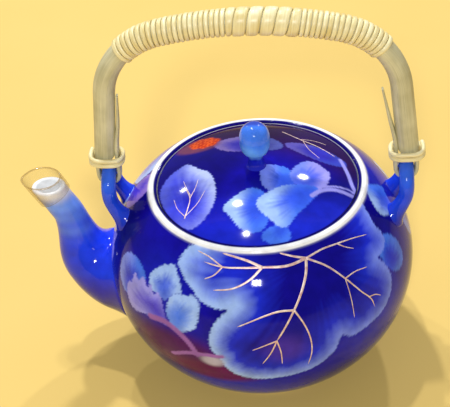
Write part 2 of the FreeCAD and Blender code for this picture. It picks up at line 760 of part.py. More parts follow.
def wind(name, first, last, edges):
    """One unbroken strip of split cane wound round the grip, as a ruled loft of its sections.

    The strip's section is a flat-topped rib; its least gap to the next turn is printed.
    """
    steps = int(size("wrap_steps"))
    radius = (size("cane_radius") + size("wrap_fit")) / math.cos(math.pi / steps)
    bevel = (size("wrap_pitch") - size("wrap_gap")) / 2 * (1 - size("wrap_crown_share"))
    swell = size("band_thickness") - size("wrap_thickness")
    rings = []
    for step in range(first, last + 1):
        angle = 2 * math.pi * step / steps
        left, right, share = edges[step]
        thickness = size("wrap_thickness") + swell * share
        corners = []
        for along, rise in (
            (left, 0),
            (right, 0),
            (right - bevel, thickness),
            (left + bevel, thickness),
        ):
            point, ahead = grip_point(along)
            across = FreeCAD.Vector(0, 1, 0)
            up = ahead.cross(across)
            reach = radius + rise
            turn = up * math.cos(angle) + across * math.sin(angle)
            corners.append(point - turn * reach)
        rings.append(corners)
    least = min(
        (rings[step + steps][0] - rings[step][1]).Length for step in range(len(rings) - steps)
    )
    print("%s: least gap between turns %.2f mm" % (name, least))
    wires = [Part.makePolygon(ring + ring[:1]) for ring in rings]
    strip = DOC.addObject("Part::Feature", name)
    strip.Label = name
    strip.Shape = Part.makeLoft(wires, True, True)
    strip.Placement = FreeCAD.Placement()
    return strip


def make_wraps():
    """Fine winding, broad slanted band, fine winding, end to end along the grip."""
    edges = strip_edges()
    steps = int(size("wrap_steps"))
    band = int(size("wrap_front_turns")) * steps
    back = band + int(size("band_turns")) * steps
    return [
        wind("wrap_spout_side", 0, band - 1, edges),
        wind("wrap_middle", band, back - 1, edges),
        wind("wrap_back", back, len(edges) - 1, edges),
    ]


def arc_from(start, heading, end):
    """The arc that leaves start along heading and reaches end."""
    chord = end - start
    way = FreeCAD.Vector(chord).normalize()
    lift = heading - way * heading.dot(way)
    if lift.Length < 1e-6:
        return Part.LineSegment(start, end).toShape()
    angle = math.atan2(lift.Length, heading.dot(way))
    middle = (start + end) * 0.5 + lift.normalize() * (chord.Length / 2 * math.tan(angle / 2))
    return Part.Arc(start, middle, end).toShape()


def biarc(start, first, end, last):
    """Two arcs that join two points and keep the headings at both."""
    chord = end - start
    both = first + last
    spread = 2 * (1 - first.dot(last))
    reach = chord.dot(both)
    square = chord.dot(chord)
    if spread < 1e-9:
        length = square / (2 * reach)
    else:
        length = (math.sqrt(reach * reach + spread * square) - reach) / spread
    joint = (start + end + (first - last) * length) * 0.5
    between = heading_at(start, first, joint)
    return [arc_from(start, first, joint), arc_from(joint, between, end)]


def heading_at(start, heading, end):
    """The heading at the far end of the arc that leaves start along heading."""
    way = FreeCAD.Vector(end - start).normalize()
    return way * (2 * heading.dot(way)) - heading


def make_collar(name, side):
    """Two turns of thin cane round the leg and its turned-up tail, one unbroken tube on biarcs."""
    strand = size("collar_strand_radius")
    fit = size("collar_fit")
    inner = size("loop_inner_x") - size("loop_thickness") / 2
    outer = size("leg_x") + size("cane_radius") / math.cos(math.radians(size("handle_lean")))
    middle = (inner + outer) / 2
    half_x = (outer - inner) / 2 + fit + strand
    half_y = size("cane_radius") + fit + strand
    power = 2 / size("collar_power")
    lean = math.tan(math.radians(size("handle_lean"))) / 2
    base = size("leg_z") + strand
    steps = int(size("collar_steps"))
    total = steps * int(size("collar_turns"))

    def at(turn):
        angle = 2 * math.pi * turn
        c = math.cos(angle)
        s = math.sin(angle)
        rise = size("collar_pitch") * turn
        x = middle - lean * rise + half_x * math.copysign(abs(c) ** power, c)
        y = half_y * math.copysign(abs(s) ** power, s)
        return FreeCAD.Vector(side * x, y, base + rise)

    shift_turn = 0.5 / steps
    small = 1e-4
    points = [at(shift_turn + step / steps) for step in range(total + 1)]
    ways = []
    for step in range(total + 1):
        turn = shift_turn + step / steps
        ways.append((at(turn + small) - at(turn - small)).normalize())
    edges = []
    for step in range(total):
        edges += biarc(points[step], ways[step], points[step + 1], ways[step + 1])
    spine = Part.Wire(edges)
    ring = Part.Wire([Part.makeCircle(strand, points[0], ways[0])])
    pipe = Part.BRepOffsetAPI.MakePipeShell(spine)
    pipe.add(ring)
    pipe.build()
    pipe.makeSolid()
    fine = [at(shift_turn + step / (steps * 8)) for step in range(total * 8 + 1)]
    count = steps * 8
    least = min(
        (a - b).Length
        for i, a in enumerate(fine)
        for b in fine[i + count // 2 :]
    )
    print("%s: least gap between turns %.2f mm" % (name, least - 2 * strand))
    collar = DOC.addObject("Part::Feature", name)
    collar.Label = name
    collar.Shape = pipe.shape()
    collar.Placement = FreeCAD.Placement()
    return collar


def export(items):
    """Check every object and write one file for each piece."""
    DOC.recompute()
    for item in DOC.Objects:
        if "Invalid" in item.State or "Error" in item.State:
            raise RuntimeError("%s is %s" % (item.Name, item.State))
    os.makedirs("parts", exist_ok=True)
    for item in items:
        shape = item.Shape
        if not shape.isValid() or len(shape.Solids) != 1:
            raise RuntimeError("%s: valid %s, solids %d" % (item.Label, shape.isValid(), len(shape.Solids)))
        shape.exportStep("parts/%s.step" % item.Label)
        print("%s: %.0f mm3" % (item.Label, shape.Volume))


fill_sheet("Sizes", SIZES, False)
fill_sheet("Derived", DERIVED, True)
PIECES = [
    make_pot_body(),
    make_lid(),
    make_knob(),
    make_spout(),
    make_guard(),
    make_lug("lug_spout_side", -1),
    make_lug("lug_back", 1),
    make_cane(),
    make_collar("collar_spout_side", -1),
    make_collar("collar_back", 1),
]
PIECES += make_wraps()
export(PIECES)
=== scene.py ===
"""Porcelain pot with a cane bail: the dressed pieces.

Every surface is a grid of points worked out with numpy, in millimetres, in the part's own frame:
X runs from the spout (minus) to the back (plus), Z up, and the foot stands on Z = 0.
"""

import bpy
import numpy as np
from mathutils import Matrix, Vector
from numpy import (
    arctan2, array, clip, concatenate, cos, hypot, linspace, maximum, minimum, pi, radians, sin, where,
)


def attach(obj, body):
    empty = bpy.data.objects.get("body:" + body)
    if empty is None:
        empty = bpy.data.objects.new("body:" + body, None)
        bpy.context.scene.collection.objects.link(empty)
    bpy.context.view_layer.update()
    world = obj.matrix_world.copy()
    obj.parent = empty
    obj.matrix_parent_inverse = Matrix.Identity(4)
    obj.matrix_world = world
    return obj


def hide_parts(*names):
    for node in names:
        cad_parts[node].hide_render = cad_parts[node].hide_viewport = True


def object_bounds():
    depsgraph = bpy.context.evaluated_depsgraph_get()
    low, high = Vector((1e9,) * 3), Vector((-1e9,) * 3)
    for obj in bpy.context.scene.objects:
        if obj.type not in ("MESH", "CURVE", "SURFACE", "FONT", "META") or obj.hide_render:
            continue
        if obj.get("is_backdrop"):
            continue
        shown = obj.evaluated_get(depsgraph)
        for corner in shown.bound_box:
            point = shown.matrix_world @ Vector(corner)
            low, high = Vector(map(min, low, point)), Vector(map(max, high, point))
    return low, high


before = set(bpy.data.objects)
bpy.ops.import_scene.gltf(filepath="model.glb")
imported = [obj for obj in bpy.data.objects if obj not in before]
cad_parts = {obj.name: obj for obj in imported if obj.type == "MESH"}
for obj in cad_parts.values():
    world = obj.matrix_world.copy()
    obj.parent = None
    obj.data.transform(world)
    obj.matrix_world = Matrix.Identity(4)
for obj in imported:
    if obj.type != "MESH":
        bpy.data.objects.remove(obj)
CAD_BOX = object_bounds()

MM = 0.001
TURN = 2.0 * pi
ALONG_X, ACROSS, UPWARD = np.eye(3)
SIDES = (("spout_side", -1.0), ("back", 1.0))

# pot: two outside arcs that meet at the widest level, foot ring, rim, ledge for the lid, strainer
BODY_RADIUS = 69.9
EQUATOR = 54.0
SHOULDER_ARC = 49.227
BELLY_ARC = 56.785
WALL = 3.4
FLOOR = 7.0
FOOT_RADIUS = 40.5
FOOT_INNER = 35.9
FOOT_RECESS = 3.6
FOOT_BEVEL = 0.9
BARE_FOOT = 1.4
RIM_RADIUS = 48.9
RIM_INNER = 45.1
RIM_HEIGHT = 94.4
RIM_TOP = 95.3
LEDGE_HEIGHT = 91.4
LEDGE_RADIUS = 41.1
LEDGE_DEPTH = 3.2
LEDGE_UNDER = 85.6
RIM_ANGLE = arctan2(RIM_HEIGHT - EQUATOR, RIM_RADIUS - BODY_RADIUS + SHOULDER_ARC)
SHOULDER_LENGTH = SHOULDER_ARC * RIM_ANGLE
STRAINER_HEIGHT = 45.5
STRAINER_RING = 7.0
STRAINER_HOLE = 1.9
STRAINER_REACH = (-76.0, -50.0)
POT_COLUMNS = 512

# lid: dome, locating flange and steam vent, then the knob's section as radius and height
LID_RADIUS = 44.7
LID_TOP = 103.4
LID_ARC = 115.5
LID_WALL = 3.2
LID_MIDDLE = 0.012
FLANGE_RADIUS = 40.7
FLANGE_INNER = 37.9
FLANGE_FOOT = 84.4
VENT_SPOT = (0.0, 15.0)
VENT_HOLE = 1.5
VENT_REACH = (90.0, 110.0)
LID_COLUMNS = 384
KNOB = (
    (5, 102.4), (4.5, 103.3), (3.8, 104.6), (3.4, 106.4), (3.3, 108.2), (4.1, 109.8), (5.5, 111.5),
    (6.5, 114), (6.8, 117), (6.5, 120.3), (5.3, 123.1), (3.3, 124.8), (1.4, 125.3), (0.3, 125.4),
)

# spout: stations of x, z, tilt from upright in degrees and radius
SPOUT = array((
    (-54.0, 42.0, 88.0, 21.5),
    (-69.0, 44.5, 68.0, 19.6),
    (-80.3, 53.0, 38.0, 14.6),
    (-85.2, 67.0, 10.0, 9.2),
    (-87.4, 78.0, 15.0, 7.3),
    (-90.9, 85.5, 26.0, 7.0),
))
SPOUT_WALL = 2.2
SPOUT_FILLET = 2.6
FILLET_REACH = 8.0
SPOUT_ROOT = 1.6
SPOUT_LIP = 1.0
SPOUT_COLUMNS = 144
TIP_TILT = radians(26.0)
TIP_AXIS = array((-sin(TIP_TILT), 0.0, cos(TIP_TILT)))

# lugs: a leg of points x, y, z up to the hinge, then a half circle
LUG_SPAN = 65.8
LUG_PIVOT = 93.9
LUG_ARCH = 8.3
LUG_TUBE = 3.3
LUG_LEG = (
    (57.8, -9.5, 76.6), (59.9, -9.3, 80), (62.1, -9, 84), (64.1, -8.65, 88), (65.3, -8.4, 91.2),
)
LUG_FLARE = 2.0
FLARE_REACH = 2.2
LUG_ROOT = 1.4

# cane: a crowned grip, two corners and two legs, then the skived ends turned under the lugs
CANE_RADIUS = 4.8
HANDLE_TOP = 176.4
CROWN_ARC = 168.0
CROWN_ANGLE = radians(13.0)
CORNER_ARC = 32.65
LEG_HEADING = radians(83.8)
CROWN_LENGTH = CROWN_ARC * CROWN_ANGLE
CORNER_LENGTH = CORNER_ARC * (LEG_HEADING - CROWN_ANGLE)
LEG_LENGTH = 37.9
SKIVE_LENGTH = 7.0
SKIVE_DEPTH = 7.2
HOOK_BEND = 4.55
HOOK_CENTRE = 101.2
HOOK_START = ((70.3, 110.1), (70.35, 106.0))
HOOK_THICK = (0.95, 0.45)
HOOK_WIDE = (2.7, 1.3)
TAIL = ((61.25, 108.0), (61.0, 114.1), (58.88, 128.1), (57.61, 142.1))
TAIL_TAPER = 28.0
TAIL_SPRING = {"spout_side": 0.0, "back": 2.6}

# winding: one strip, fine at both sides and broad in the middle, and the bindings on the legs
WINDING_START = -53.2
FRONT_TURNS = 22
BAND_TURNS = 6
BACK_TURNS = 17
STRIP_GAP = 0.55
STRIP_FINE = 1.6
STRIP_BROAD = 5.05
STRIP_THICK = 0.96
STRIP_STEPS = 56
BINDING_RADIUS = 1.0
BINDING_CLEAR = 1.25
BINDING_INNER = 60.3
BINDING_OUTER = 67.0 + CANE_RADIUS / cos(radians(6.2))
BINDING_FOOT = 107.1
BINDING_PITCH = 2.45
BINDING_TURNS = (0.0625, 2.0625)
BINDING_LEAN = 0.0543

# clear sleeve on the spout's tip: radii at its square foot, widening over its length to a level mouth
GUARD_FOOT = array((-92.61, 0.0, 89.007))
GUARD_OUTER = 8.0
GUARD_INNER = 7.2
GUARD_SLOPE = 1.6 / 32.0
GUARD_MOUTH = 98.35
GUARD_LIP = 0.25
GUARD_TUCK = 0.5
BEAK_REACH = 0.55
BEAK_SPREAD = 0.34


def ramp(low, high, value):
    """Smooth step: 0 up to low, 1 from high, and 3t^2 - 2t^3 between."""
    t = clip((value - low) / (high - low), 0.0, 1.0)
    return t * t * (3.0 - 2.0 * t)


def ink(red, green, blue):
    """A colour of 0 to 255 per channel as linear light, by the usual 2.4 power curve."""
    c = array((red, green, blue)) / 255.0
    return where(c <= 0.04045, c / 12.92, ((c + 0.055) / 1.055) ** 2.4)


def wash(under, over, amount):
    """Lays one colour over another: under times (1 - amount) plus over times amount."""
    amount = np.asarray(amount, float)[..., None]
    return under * (1.0 - amount) + over * amount


def ripple(value):
    """Unevenness of about -1 to 1: the mean of five sines of unrelated frequencies and phases."""
    waves = array((5.0, 7.0, 10.0, 15.0, 23.0))
    phases = sin(waves * 12.9898 + 2.0) * 43.7
    return np.mean(sin(value[..., None] * waves + phases), axis=-1) * 1.6


def joined(*parts):
    """Points from their coordinates: these are brought to one shape and set side by side."""
    return np.stack(np.broadcast_arrays(*parts), axis=-1)


def circle(count):
    """Angles of even steps round a circle: each step's number times a full turn over their count."""
    return np.arange(count) * TURN / count


def squared(wave, power):
    """A wave made fuller: its size to a power below 1, with its sign."""
    return np.sign(wave) * np.abs(wave) ** power


def unit(vectors):
    """Vectors brought to length 1: each divided by its length."""
    return vectors / np.linalg.norm(vectors, axis=-1, keepdims=True)


def lengths_along(points):
    """Length from the first point of a line to each of its points: the running sum of its steps."""
    steps = np.linalg.norm(np.diff(points, axis=0), axis=1)
    return concatenate(((0.0,), np.cumsum(steps)))


def hermite(knots, points, slopes, way):
    """Cubic Hermite spans: at each knot the line passes its point along its slope."""
    i = clip(np.searchsorted(knots, way, side="right") - 1, 0, len(knots) - 2)
    span = (knots[i + 1] - knots[i])[:, None]
    u = (way - knots[i])[:, None] / span
    return (
        (2 * u**3 - 3 * u**2 + 1) * points[i]
        + (u**3 - 2 * u**2 + u) * span * slopes[i]
        + (3 * u**2 - 2 * u**3) * points[i + 1]
        + (u**3 - u**2) * span * slopes[i + 1]
    )


def line_through(points, count):
    """Smooth line through points: Hermite spans whose slopes follow the chord of the neighbours."""
    points = np.asarray(points, float)
    knots = lengths_along(points)
    slopes = np.gradient(points, knots, axis=0)
    return hermite(knots, points, slopes, linspace(0.0, knots[-1], count))


def arc(centre_r, centre_z, radius, start, end, count):
    """Points (r, z) between two angles: a centre plus a radius times cosine and sine."""
    a = linspace(start, end, count)
    return joined(centre_r + radius * cos(a), centre_z + radius * sin(a))


def eased(points, reach):
    """Rounds corners over 14 degrees: a quadratic curve, drawn to each, from reach before to reach after."""
    points = np.asarray(points, float)
    u = linspace(0.0, 1.0, 6)[:, None]
    parts = [points[:1]]
    for a, b, c in zip(points, points[1:], points[2:]):
        before, after = np.linalg.norm(b - a), np.linalg.norm(c - b)
        if np.dot(b - a, c - b) >= before * after * cos(radians(14.0)):
            parts.append(b[None])
            continue
        start = b - (b - a) * min(0.45, reach / before)
        end = b + (c - b) * min(0.45, reach / after)
        parts.append((1 - u) ** 2 * start + 2 * u * (1 - u) * b + u**2 * end)
    return concatenate((*parts, points[-1:]))


def turned(profile, columns):
    """A profile of (r, z) carried round Z: x and y are r times cosine and sine of the angle."""
    angle = circle(columns)
    return joined(profile[:, :1] * cos(angle), profile[:, :1] * sin(angle), profile[:, 1:])


def swept(line, first, second, u, v):
    """A section carried along a line: each point is the line's plus u times first plus v times second."""
    return line[:, None] + u[..., None] * first[:, None] + v[..., None] * second[:, None]


def rolled_lip(outer, inner, height, count):
    """Rows over a lip between two rings: half an ellipse from one to the other, raised by height."""
    swing = linspace(0.0, pi, count)[1:-1]
    share = (0.5 - 0.5 * cos(swing))[:, None, None]
    return outer * (1 - share) + inner * share + height * sin(swing)[:, None, None] * UPWARD


def pot_depth(points):
    """Distance outside the pot's skin, and the way out.

    It is the distance from the centre of an arc less its radius: the shoulder's arc above the widest level
    and the belly's below it.
    """
    x, y, z = np.moveaxis(points, -1, 0)
    around = hypot(x, y)
    radius = where(z >= EQUATOR, SHOULDER_ARC, BELLY_ARC)
    out = around - BODY_RADIUS + radius
    far = hypot(out, z - EQUATOR)
    flat = out / far / maximum(around, 1e-6)
    return far - radius, joined(x * flat, y * flat, (z - EQUATOR) / far)


def rooted(points, deepest):
    """Moves points that lie deeper than a set depth under the pot's skin out to that depth."""
    depth, out = pot_depth(points)
    return points + out * maximum(-deepest - depth, 0.0)[..., None]


def closed_skin(points, ring):
    """Vertices, quads and end fans of a grid whose columns close, and whose rows close too if ring is set.

    Open ends get a fan to the middle of their last row, and the sign of the volume turns the faces outwards.
    """
    rows, columns = points.shape[:2]
    vertices = points.reshape(-1, 3)
    r, c = np.indices((rows if ring else rows - 1, columns))
    here, next_row, on = r * columns, (r + 1) % rows * columns, (c + 1) % columns
    quads = joined(here + c, here + on, next_row + on, next_row + c).reshape(-1, 4)
    fans = np.zeros((0, 3), int)
    if not ring:
        vertices = concatenate((vertices, points[:1].mean(axis=1), points[-1:].mean(axis=1)))
        c, on, last = c[0], on[0], (rows - 1) * columns
        middle = rows * columns
        fans = concatenate((joined(on, c, middle), joined(last + c, last + on, middle + 1)))
    corners = concatenate((quads[:, (0, 1, 2)], quads[:, (0, 2, 3)], fans))
    a, b, c = (vertices[corners[:, k]] for k in range(3))
    if np.sum(a * np.cross(b, c)) < 0.0:
        quads, fans = quads[:, ::-1], fans[:, ::-1]
    return vertices, quads, fans


def new_object(name, skins, ring):
    """One mesh object of all the skins, in metres."""
    vertices, faces, first = [], [], 0
    for skin in skins:
        points, quads, fans = closed_skin(skin, ring)
        vertices.append(points)
        faces += (quads + first).tolist() + (fans + first).tolist()
        first += len(points)
    mesh = bpy.data.meshes.new(name)
    mesh.from_pydata((concatenate(vertices) * MM).tolist(), [], faces)
    made = bpy.data.objects.new(name, mesh)
    bpy.context.collection.objects.link(made)
    return made


def add_layer(mesh, label, kind, field, grid, ring):
    """Gives each vertex its value of a grid, and the middle of an end the mean of its row."""
    flat = grid.reshape(-1, grid.shape[-1])
    if not ring:
        flat = concatenate((flat, grid[:1].mean(axis=1), grid[-1:].mean(axis=1)))
    layer = mesh.attributes.new(label, kind, "POINT")
    layer.data.foreach_set(field, flat.astype(np.float32).ravel())


def make_piece(name, skins, body, finish, stands_for=(), ring=False, colours=None, grain=None):
    """One piece from one or more grids of points, with colours or straightened grain per point."""
    piece = new_object(name, skins, ring)
    mesh = piece.data
    mesh.polygons.foreach_set("use_smooth", np.ones(len(mesh.polygons), bool))
    if colours is not None:
        opaque = concatenate((colours, np.ones((*colours.shape[:2], 1))), axis=-1)
        add_layer(mesh, "glaze", "FLOAT_COLOR", "color", opaque, ring)
    if grain is not None:
        add_layer(mesh, "grain", "FLOAT_VECTOR", "vector", grain, ring)
    mesh.materials.append(finish)
    mesh.update()
    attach(piece, body)
    if stands_for:
        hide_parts(*stands_for)
    return piece


def drill(piece, spots, way, reach, radius):
    """Cuts holes of 20 sides along one axis (0 for X, 2 for Z) at spots on the other two, by a Boolean."""
    angle = circle(20)
    skins = []
    for first, second in spots:
        sides = [first + radius * cos(angle), second + radius * sin(angle)]
        sides.insert(way, array(reach)[:, None])
        skins.append(joined(*sides))
    tool = new_object("drill", skins, False)
    mesh = tool.data
    cut = piece.modifiers.new("holes", "BOOLEAN")
    cut.object = tool
    cut.operation = "DIFFERENCE"
    cut.solver = "EXACT"
    shown = bpy.context.evaluated_depsgraph_get()
    result = bpy.data.meshes.new_from_object(piece.evaluated_get(shown))
    piece.modifiers.clear()
    result.name = piece.name
    piece.data = result
    bpy.data.objects.remove(tool)
    bpy.data.meshes.remove(mesh)


def new_finish(name):
    """An empty material and its shader node."""
    finish = bpy.data.materials.new(name)
    finish.use_nodes = True
    return finish, finish.node_tree.nodes["Principled BSDF"]


def fill(node, inputs):
    """Fills a node's inputs: links what is another node's output and sets the rest."""
    for socket, value in inputs.items():
        if isinstance(value, bpy.types.NodeSocket):
            node.id_data.links.new(value, node.inputs[socket])
        else:
            node.inputs[socket].default_value = value


def add_node(finish, kind, output, inputs=None, **fields):
    """Adds a node with its fields and inputs, and gives one of its outputs."""
    node = finish.node_tree.nodes.new("ShaderNode" + kind)
    for field, value in fields.items():
        setattr(node, field, value)
    fill(node, inputs or {})
    return node.outputs[output]


def noise(finish, place, scale, detail=2.0, roughness=0.5):
    """Smooth noise from 0 to 1 at a place."""
    inputs = {"Vector": place, "Scale": scale, "Detail": detail, "Roughness": roughness}
    return add_node(finish, "TexNoise", "Fac", inputs)


def spread(finish, value, low, high, start=0.0, end=1.0):
    """Carries a value from the span start to end over to the span low to high."""
    inputs = {"Value": value, "From Min": start, "From Max": end, "To Min": low, "To Max": high}
    return add_node(finish, "MapRange", "Result", inputs)


def tone(finish, value, start, dark, end, light):
    """A colour between dark, up to start, and light, from end."""
    colour = add_node(finish, "ValToRGB", "Color", {"Fac": value})
    stops = colour.node.color_ramp.elements
    for stop, place, tint in zip(stops, (start, end), (dark, light)):
        stop.position = place
        stop.color = (*tint, 1.0)
    return colour


def bump(finish, height, strength, distance):
    """The skin's direction after fine relief."""
    inputs = {"Height": height, "Strength": strength, "Distance": distance}
    return add_node(finish, "Bump", "Normal", inputs)


def glaze_finish(name, gloss):
    """Glazed porcelain: brushed, faintly clouded colour under a glossy, uneven coat."""
    finish, shader = new_finish(name)
    place = add_node(finish, "TexCoord", "Object")
    brushed = add_node(finish, "Attribute", "Color", attribute_name="glaze")
    cloud = spread(finish, noise(finish, place, 160.0, 4.0), 0.84, 1.12, 0.3, 0.7)
    inputs = {"Factor": 1.0, "A": brushed, "B": cloud}
    colour = add_node(finish, "Mix", "Result", inputs, data_type="RGBA", blend_type="MULTIPLY")
    waves = bump(finish, noise(finish, place, 55.0, 1.0), 0.05, 0.002)
    fill(shader, {"Base Color": colour, "Normal": waves, "Roughness": 0.07})
    fill(shader, {"IOR": 1.5, "Specular IOR Level": gloss})
    return finish


def gilt_finish():
    """Burnished gilding: pink-gold metal, worn duller and paler in patches."""
    finish, shader = new_finish("rose_gilt")
    wear = noise(finish, add_node(finish, "TexCoord", "Object"), 420.0, 3.0)
    colour = tone(finish, wear, 0.3, ink(214, 166, 160), 0.72, ink(252, 234, 218))
    fill(shader, {"Base Color": colour, "Roughness": spread(finish, wear, 0.28, 0.5), "Metallic": 0.3})
    return finish


def cane_finish(name, dark, light, streaks, roughness):
    """Cane skin: long fibres from noise stretched along the straightened grain, with patches between."""
    finish, shader = new_finish(name)
    grain = add_node(finish, "Attribute", "Vector", attribute_name="grain")
    drawn = add_node(finish, "Mapping", "Vector", {"Vector": grain, "Scale": (1.0, 1.0, 0.03)})
    fibre = noise(finish, drawn, streaks, 5.0, 0.62)
    patch = noise(finish, grain, 0.09)
    half = add_node(finish, "Math", "Value", {0: fibre, 1: 0.5}, operation="MULTIPLY")
    both = add_node(finish, "Math", "Value", {0: patch, 1: 0.55, 2: half}, operation="MULTIPLY_ADD")
    colour = tone(finish, both, 0.38, dark, 0.66, light)
    relief = bump(finish, fibre, 0.25, 0.0003)
    fill(shader, {"Base Color": colour, "Normal": relief, "Roughness": roughness})
    return finish


def clear_finish():
    """Soft clear sleeve: nearly invisible face on, warm at its lip and where seen edge on."""
    finish, shader = new_finish("clear_soft_plastic")
    place = add_node(finish, "TexCoord", "Object")
    facing = add_node(finish, "LayerWeight", "Facing", {"Blend": 0.3})
    height = add_node(finish, "SeparateXYZ", "Z", {"Vector": place})
    wall = spread(finish, facing, 0.06, 0.6, 0.1)
    lip = spread(finish, height, 0.0, 0.6, (GUARD_MOUTH - 0.4) * MM, (GUARD_MOUTH + 0.05) * MM)
    cover = add_node(finish, "Math", "Value", {0: wall, 1: lip}, operation="MAXIMUM")
    haze = spread(finish, noise(finish, place, 240.0), 0.05, 0.2)
    fill(shader, {"Base Color": (*ink(168, 136, 72), 1.0), "Roughness": haze, "Alpha": cover})
    return finish


DEEP = ink(14, 5, 114)
COBALT = ink(18, 10, 162)
BRIGHT = ink(28, 46, 214)
PALE = ink(164, 196, 255)
MIST = ink(156, 154, 244)
WHITE = ink(250, 250, 250)
BISQUE = ink(226, 222, 212)
INNER_WHITE = ink(244, 246, 248)
AUBERGINE = ink(80, 0, 84)
RUSSET = ink(94, 0, 74)
SKY = ink(70, 118, 240)
FROST = ink(120, 142, 246)
AZURE = ink(46, 80, 226)
DUSK = ink(58, 70, 190)
MAUVE = ink(140, 112, 205)
VIOLET = ink(66, 44, 176)
ROSE = ink(154, 100, 180)
STONE = ink(190, 186, 204)

# outlines of the leaves about their stalks, in millimetres along and up the surface
BROAD_LEAF = (
    (-41.9, 6.6), (-48.8, 3.7), (-53.4, -0.1), (-58.1, -5.1), (-56.3, -7.5), (-55, -10.5), (-52, -12.4),
    (-50.9, -15.6), (-47.7, -17.3), (-43, -18.6), (-37.6, -17.5), (-33.3, -15.4), (-38.6, -20.1),
    (-43.3, -24.2), (-46.7, -28.4), (-48.9, -34.2), (-48.2, -39.3), (-44.9, -43.4), (-42.1, -49.5),
    (-36.8, -54.1), (-29.8, -56.2), (-21.5, -56), (-14.2, -55.3), (-7.1, -54), (-0.9, -50.8),
    (4.2, -46.5), (6.7, -40.9), (8.3, -36.6), (13.3, -41.6), (18.8, -41.3), (25.5, -40.4), (30.8, -39.5),
    (36.2, -36.5), (40.2, -31.4), (40.3, -25.2), (36.8, -19), (32, -14.1), (37.5, -14.6), (42.2, -13.4),
    (42.6, -9.4), (38.4, -4), (38, 30), (0, 34), (-40, 30),
)
FAN_LEAF = (
    (-10.7, 5.7), (-9.1, 9.1), (-6.8, 11.3), (-5.3, 13.4), (-3.2, 13.9), (-1.3, 15.6), (0.5, 15.3),
    (2.2, 13.4), (4.3, 11), (6.2, 8.5), (7.6, 5.8), (3.8, 4.6), (1.8, 1.7), (0.1, -0.4), (-2.5, 0.6),
    (-5.5, 0.8), (-8.4, 1.7), (-10.3, 3.6),
)
ROUND_LEAF = (
    (-1.1, 12.1), (1, 14.1), (3.6, 14.3), (6.1, 14.3), (8.6, 15.7), (10.8, 14.7), (12.2, 12.8),
    (13.1, 10.8), (12.8, 8.4), (13.1, 6.1), (12.5, 3.5), (11.8, 0.8), (8.7, -0.9), (5.8, -2.6), (2.7, -3),
    (0.6, -1.8), (-0.6, 0.8), (-1.9, 3.2), (-2.4, 5.9), (-1.9, 9.5),
)
TULIP_LEAF = (
    (-21.8, 13.3), (-18.8, 11), (-16.6, 11.7), (-15.1, 14.9), (-13.1, 12.2), (-11.2, 10.4), (-9.9, 14.1),
    (-8.1, 11.5), (-6.4, 9.5), (-5, 12.8), (-3, 10.6), (-1.3, 8), (-0.3, 4.5), (1.6, 1.3),
    (3.1, -1.2), (-1.7, -0.3), (-6.6, -0.2), (-11.2, -1.3), (-16.3, -3.7), (-20.4, -4.2), (-23.9, -2.9),
    (-25.2, 0), (-26, 3.1), (-25.2, 6.7), (-22, 7.1),
)
SIDE_LEAF = (
    (-14.1, 5.1), (-13.5, 9.7), (-9.3, 13.6), (-3.8, 14.6), (1.3, 13.7), (6.8, 10.9), (4.6, 6),
    (1.2, 1.9), (-1.4, -2), (-4.9, -4.5), (-9.5, -3.3), (-13.1, 0.6),
)
SMALL_LEAF = (
    (3.2, 13), (9.8, 9.2), (13.1, 1.8), (12.4, -5), (6.8, -7.4), (1, -4), (-2.5, 2.4), (-2.6, 8.4),
)
LID_LONE = (
    (1.1, -3.8), (5.4, -2.3), (8.7, 2.1), (11, 7.5), (11.6, 13.2), (10.3, 21.6), (7.2, 27.9), (3.9, 29.6),
    (0.9, 33), (-2.7, 36.9), (-5.2, 34.1), (-8.7, 31.9), (-11.5, 26.7), (-12.9, 21.3), (-11.3, 14.3),
    (-8.5, 7.5), (-5, 2),
)
LID_BACK = ((-15, 5), (-8, 9.5), (4, 10), (14, 6), (18, -2), (6, -4), (-8, -3))
LID_EDGE = ((-16, 6), (-4, 7), (8, 1), (14, -6), (4, -7), (-8, -1))
LID_UPPER = (
    (-13.2, 6.2), (-13.3, 11), (-9.8, 13.2), (-6.3, 12), (-3.2, 11.6), (-1, 8.3), (0.8, 2.6),
    (-2.6, -1.5), (-7.3, -3.7), (-10.4, -2), (-12.6, 1),
)
LID_RIGHT = (
    (-3.9, 4.6), (-2.7, 8.9), (-0.1, 13), (3, 16), (7, 15.5), (9.6, 12.5), (12.3, 10.4),
    (11.8, 5.4), (10.4, 1.1), (6.9, -1.7), (2.2, -2.1), (-1.3, -0.2),
)
LID_LOWER = (
    (-18.9, 0), (-16.4, 2.9), (-13.1, 5.9), (-9.3, 9.1), (-5.8, 9.6), (-2.3, 7.2), (-0.9, 1.6),
    (0.1, -4.7), (-1.5, -10.1), (-4.5, -12.5), (-8.3, -11.9), (-11.7, -9.8), (-14, -6.3), (-16.2, -3),
)
LID_SMALL = ((-8.4, -5.4), (-5, -1.7), (-0.8, -0.1), (2.5, -1.7), (3, -5.3), (0.9, -7.7), (-4.1, -8))
LID_FRONT = (
    (-20.5, -3.4), (-18, -0.6), (-15.5, 1.2), (-12.9, 3.1), (-9.9, 5.1), (-6, 6.2), (-1.7, 6.8),
    (2.6, 7.1), (5.2, 5.8), (3.4, 1.8), (0.9, -1.5), (-1.3, -5.2), (-4.3, -8.3), (-6.4, -12.1),
    (-8.5, -15.7), (-11.4, -15.4), (-14, -12.6), (-16.1, -10.7), (-18.3, -8.7), (-20, -6.6),
)
# the broad leaf's stalk: turn round the pot in degrees, and depth below the rim
BROAD_TURN = -65.8
BROAD_DEPTH = 5.6
